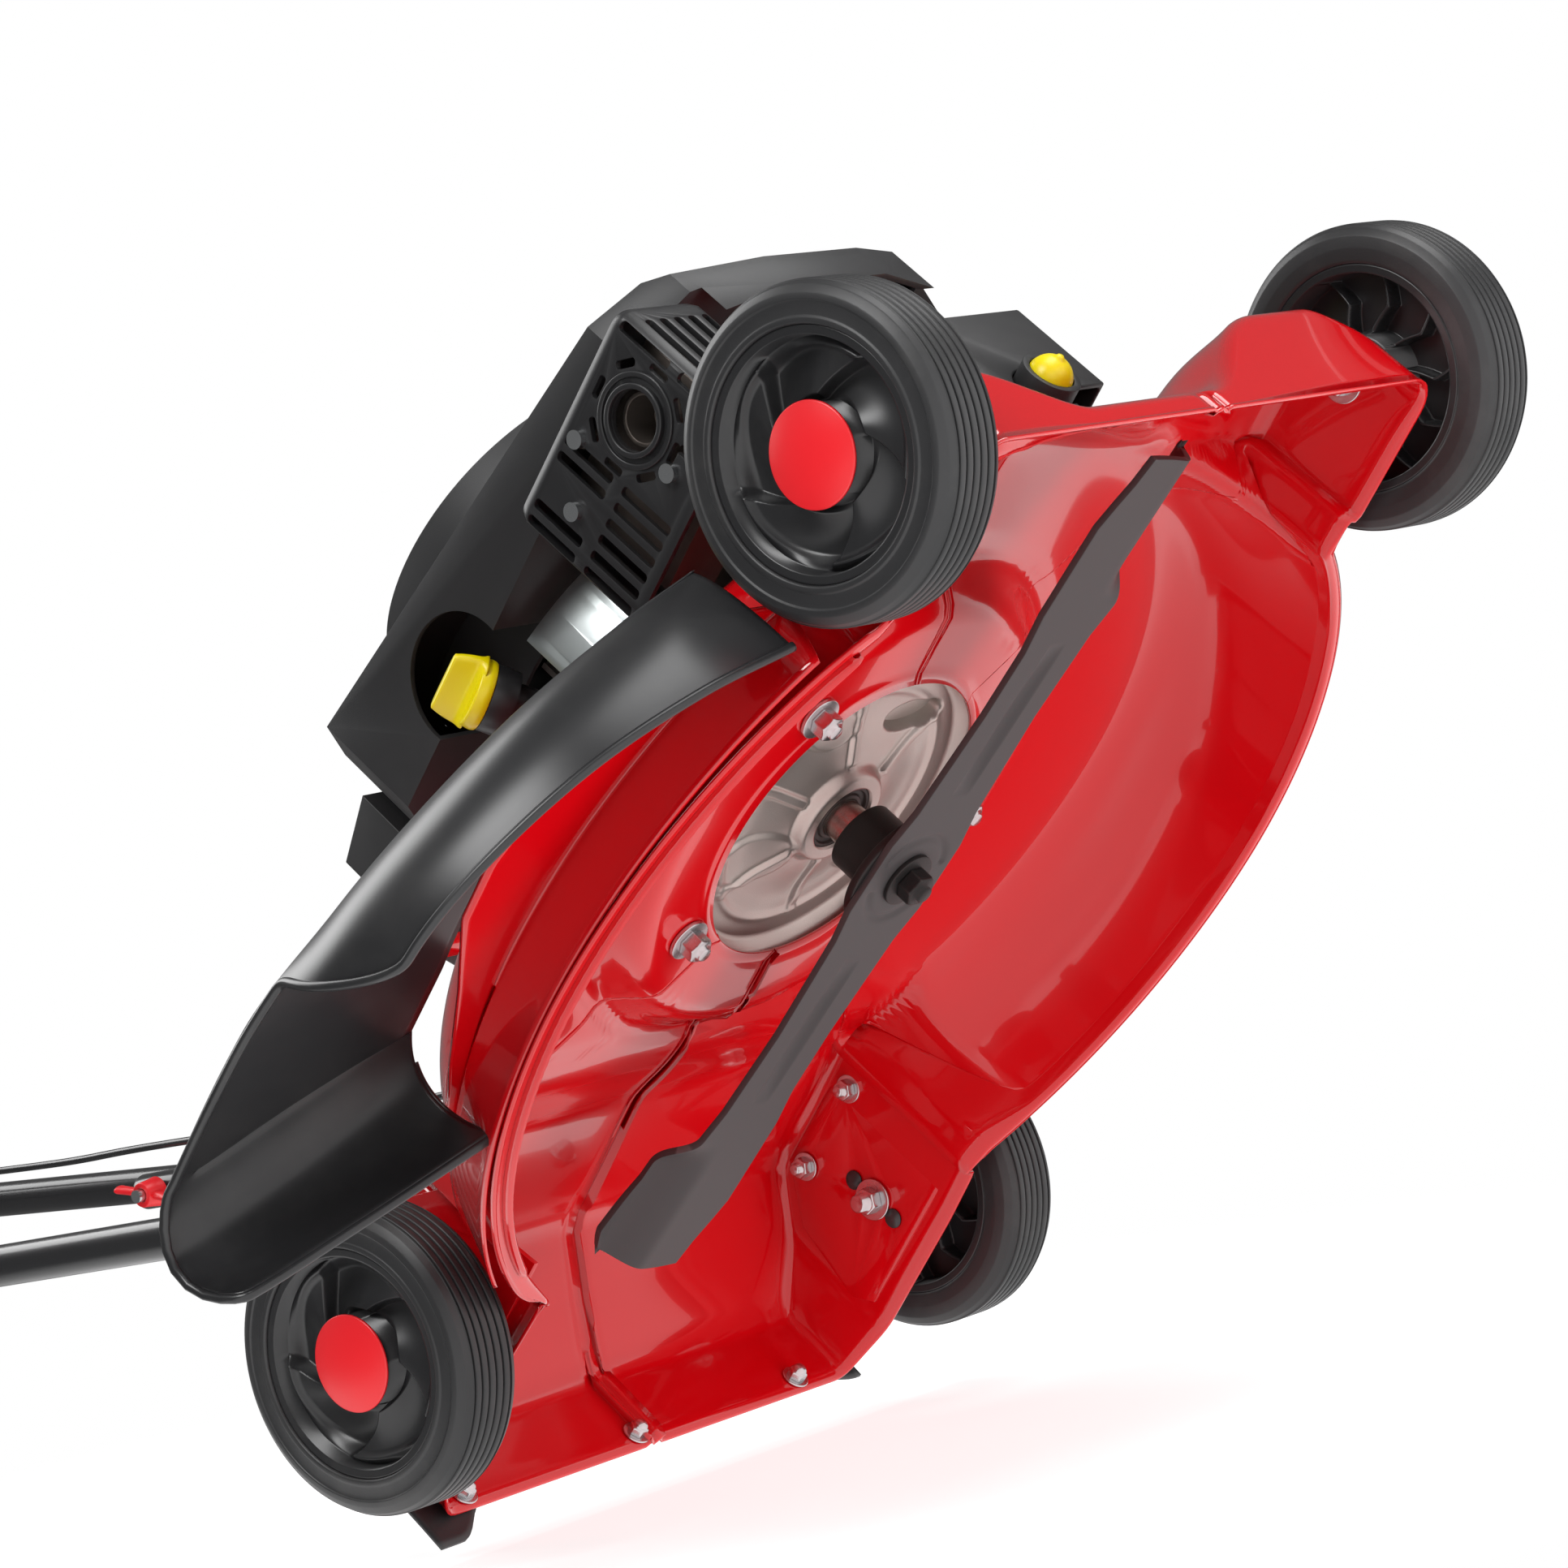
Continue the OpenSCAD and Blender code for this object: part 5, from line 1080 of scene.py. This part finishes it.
# Studio: camera, pale floor and soft lights, set out from the camera's own directions
studio = {"camera": (-1991.9, -1250.0, -1003.2), "lens": 120.2, "backdrop": 1.0, "fill": 0.16}
forward = Vector((0.7595, 0.4799, 0.4391)).normalized()
rightward = Vector((0.6361, -0.4069, -0.6556)).normalized()
upward = rightward.cross(forward).normalized()
eye = Vector(place(studio["camera"]).tolist())
cameraData = bpy.data.cameras.new("camera")
cameraData.lens, cameraData.sensor_width = studio["lens"], 36
cameraData.clip_start, cameraData.clip_end = 0.05, 60
camera = bpy.data.objects.new("camera", cameraData)
camera.matrix_world = Matrix.Translation(eye) @ Matrix((rightward, upward, -forward)).transposed().to_4x4()
bpy.context.scene.collection.objects.link(camera)
bpy.context.scene.camera = camera
bpy.context.scene.view_settings.view_transform = "Standard"
bpy.context.scene.view_settings.look = "None"


def makeWorld():  # white where the camera sees it, and dimmer as a light
    world = bpy.data.worlds.new("studio")
    world.use_nodes = True
    tree = world.node_tree
    tree.nodes.clear()
    mix = tree.nodes.new("ShaderNodeMixShader")
    for slot, strength in ((1, studio["fill"]), (2, studio["backdrop"])):
        sky = tree.nodes.new("ShaderNodeBackground")
        sky.inputs["Color"].default_value, sky.inputs["Strength"].default_value = (1, 1, 1, 1), strength
        tree.links.new(sky.outputs[0], mix.inputs[slot])
    path = tree.nodes.new("ShaderNodeLightPath")
    out = tree.nodes.new("ShaderNodeOutputWorld")
    tree.links.new(path.outputs["Is Camera Ray"], mix.inputs[0])
    tree.links.new(mix.outputs[0], out.inputs[0])
    bpy.context.scene.world = world


def softbox(name, right, up, back, size, power, target=(0, 0, 90)):
    aim = Vector(place(target).tolist())
    spot = aim + rightward * right + upward * up - forward * back
    data = bpy.data.lights.new(name, "AREA")
    data.shape, data.size, data.size_y, data.energy = "RECTANGLE", size[0], size[1], power
    lamp = bpy.data.objects.new(name, data)
    lamp.matrix_world = Matrix.Translation(spot) @ (aim - spot).to_track_quat("-Z", "Y").to_matrix().to_4x4()
    bpy.context.scene.collection.objects.link(lamp)


def makeFloor(name, centre, normal, clearAt, lift):  # white disc that fades out to nothing and takes a faint shadow
    turn = np.linspace(0, 2 * np.pi, 96, endpoint=False)
    radii = np.array([0.0, 0.3, 0.7, 1.0])[:, None] * clearAt
    mesh = bpy.data.meshes.new(name)
    grid = np.stack([radii * np.cos(turn), radii * np.sin(turn), 0 * radii * turn], axis=-1)
    verts, faces = sheetPart(grid, closedColumns=True)
    mesh.from_pydata(verts.tolist(), [], faces.tolist())
    floor = bpy.data.objects.new(name, mesh)
    floor.matrix_world = Matrix.Translation(centre) @ normal.to_track_quat("Z", "Y").to_matrix().to_4x4()
    bpy.context.scene.collection.objects.link(floor)
    if mesh.polygons[-1].normal.z < 0:
        mesh.flip_normals()
    material = bpy.data.materials.new(name)
    material.use_nodes = True
    tree = material.node_tree
    shader = tree.nodes["Principled BSDF"]
    shader.inputs["Base Color"].default_value = (lift, lift, lift, 1)
    shader.inputs["Roughness"].default_value = 0.9
    shader.inputs["Specular IOR Level"].default_value = 0.0
    glow = tree.nodes.new("ShaderNodeEmission")
    glow.inputs["Strength"].default_value = 1.0 - lift * 0.35
    add = tree.nodes.new("ShaderNodeAddShader")
    clear = tree.nodes.new("ShaderNodeBsdfTransparent")
    fade = tree.nodes.new("ShaderNodeMixShader")
    coord = tree.nodes.new("ShaderNodeTexCoord")
    length = tree.nodes.new("ShaderNodeVectorMath")
    length.operation = "LENGTH"
    ramp = tree.nodes.new("ShaderNodeMapRange")
    ramp.interpolation_type = "SMOOTHSTEP"
    ramp.inputs["From Min"].default_value, ramp.inputs["From Max"].default_value = clearAt * 0.45, clearAt
    geometry = tree.nodes.new("ShaderNodeNewGeometry")
    either = tree.nodes.new("ShaderNodeMath")
    either.operation = "MAXIMUM"
    tree.links.new(shader.outputs[0], add.inputs[0])
    tree.links.new(glow.outputs[0], add.inputs[1])
    tree.links.new(coord.outputs["Object"], length.inputs[0])
    tree.links.new(length.outputs["Value"], ramp.inputs["Value"])
    tree.links.new(ramp.outputs["Result"], either.inputs[0])
    tree.links.new(geometry.outputs["Backfacing"], either.inputs[1])
    tree.links.new(either.outputs[0], fade.inputs[0])
    tree.links.new(add.outputs[0], fade.inputs[1])
    tree.links.new(clear.outputs[0], fade.inputs[2])
    tree.links.new(fade.outputs[0], tree.nodes["Material Output"].inputs["Surface"])
    mesh.materials.append(material)
    floor.visible_shadow = False


# the mower lies back on its rear tyres and its grip, so one floor touches both; the other is level
tyreAt, tyreR, gripR = np.array([axleForm["y"]["rear"], axleForm["z"]]), wheelForm["radius"], 15.0
gripAt = alongUpper(handleForm["upperLen"])[1:]
reach = gripAt - tyreAt
span = np.linalg.norm(reach)
lean = np.arcsin((tyreR - gripR) / span)
back = np.arctan2(reach[1], reach[0]) + np.pi / 2 - lean
leaning = Vector((0, float(np.cos(back)), float(np.sin(back))))
touch = Vector(place([20, tyreAt[0], tyreAt[1]]).tolist()) - leaning * (tyreR * mm + 0.001)
shieldLow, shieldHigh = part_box("rear_shield")
touch -= leaning * max(0.0, touch.dot(leaning) - Vector((0, shieldHigh[1], shieldLow[2])).dot(leaning) + 0.001)
makeWorld()
makeFloor("leaningFloor", touch, leaning, 0.75, 0.5)
makeFloor("levelFloor", Vector(place([0, 300, -1.5]).tolist()), Vector((0, 0, 1)), 2.2, 0.5)
softbox("keyLight", -1.5, 1.7, 1.5, (1.1, 1.1), 40)
softbox("fillLight", 2.0, -0.2, 1.3, (0.9, 2.4), 26)
softbox("lowLight", -0.4, -1.9, 1.6, (2.2, 0.7), 16)
softbox("topLight", 0.4, 2.6, 0.1, (2.4, 1.2), 46)
softbox("backLight", -2.0, 1.0, -1.4, (1.2, 1.8), 30)
print("studio lit")
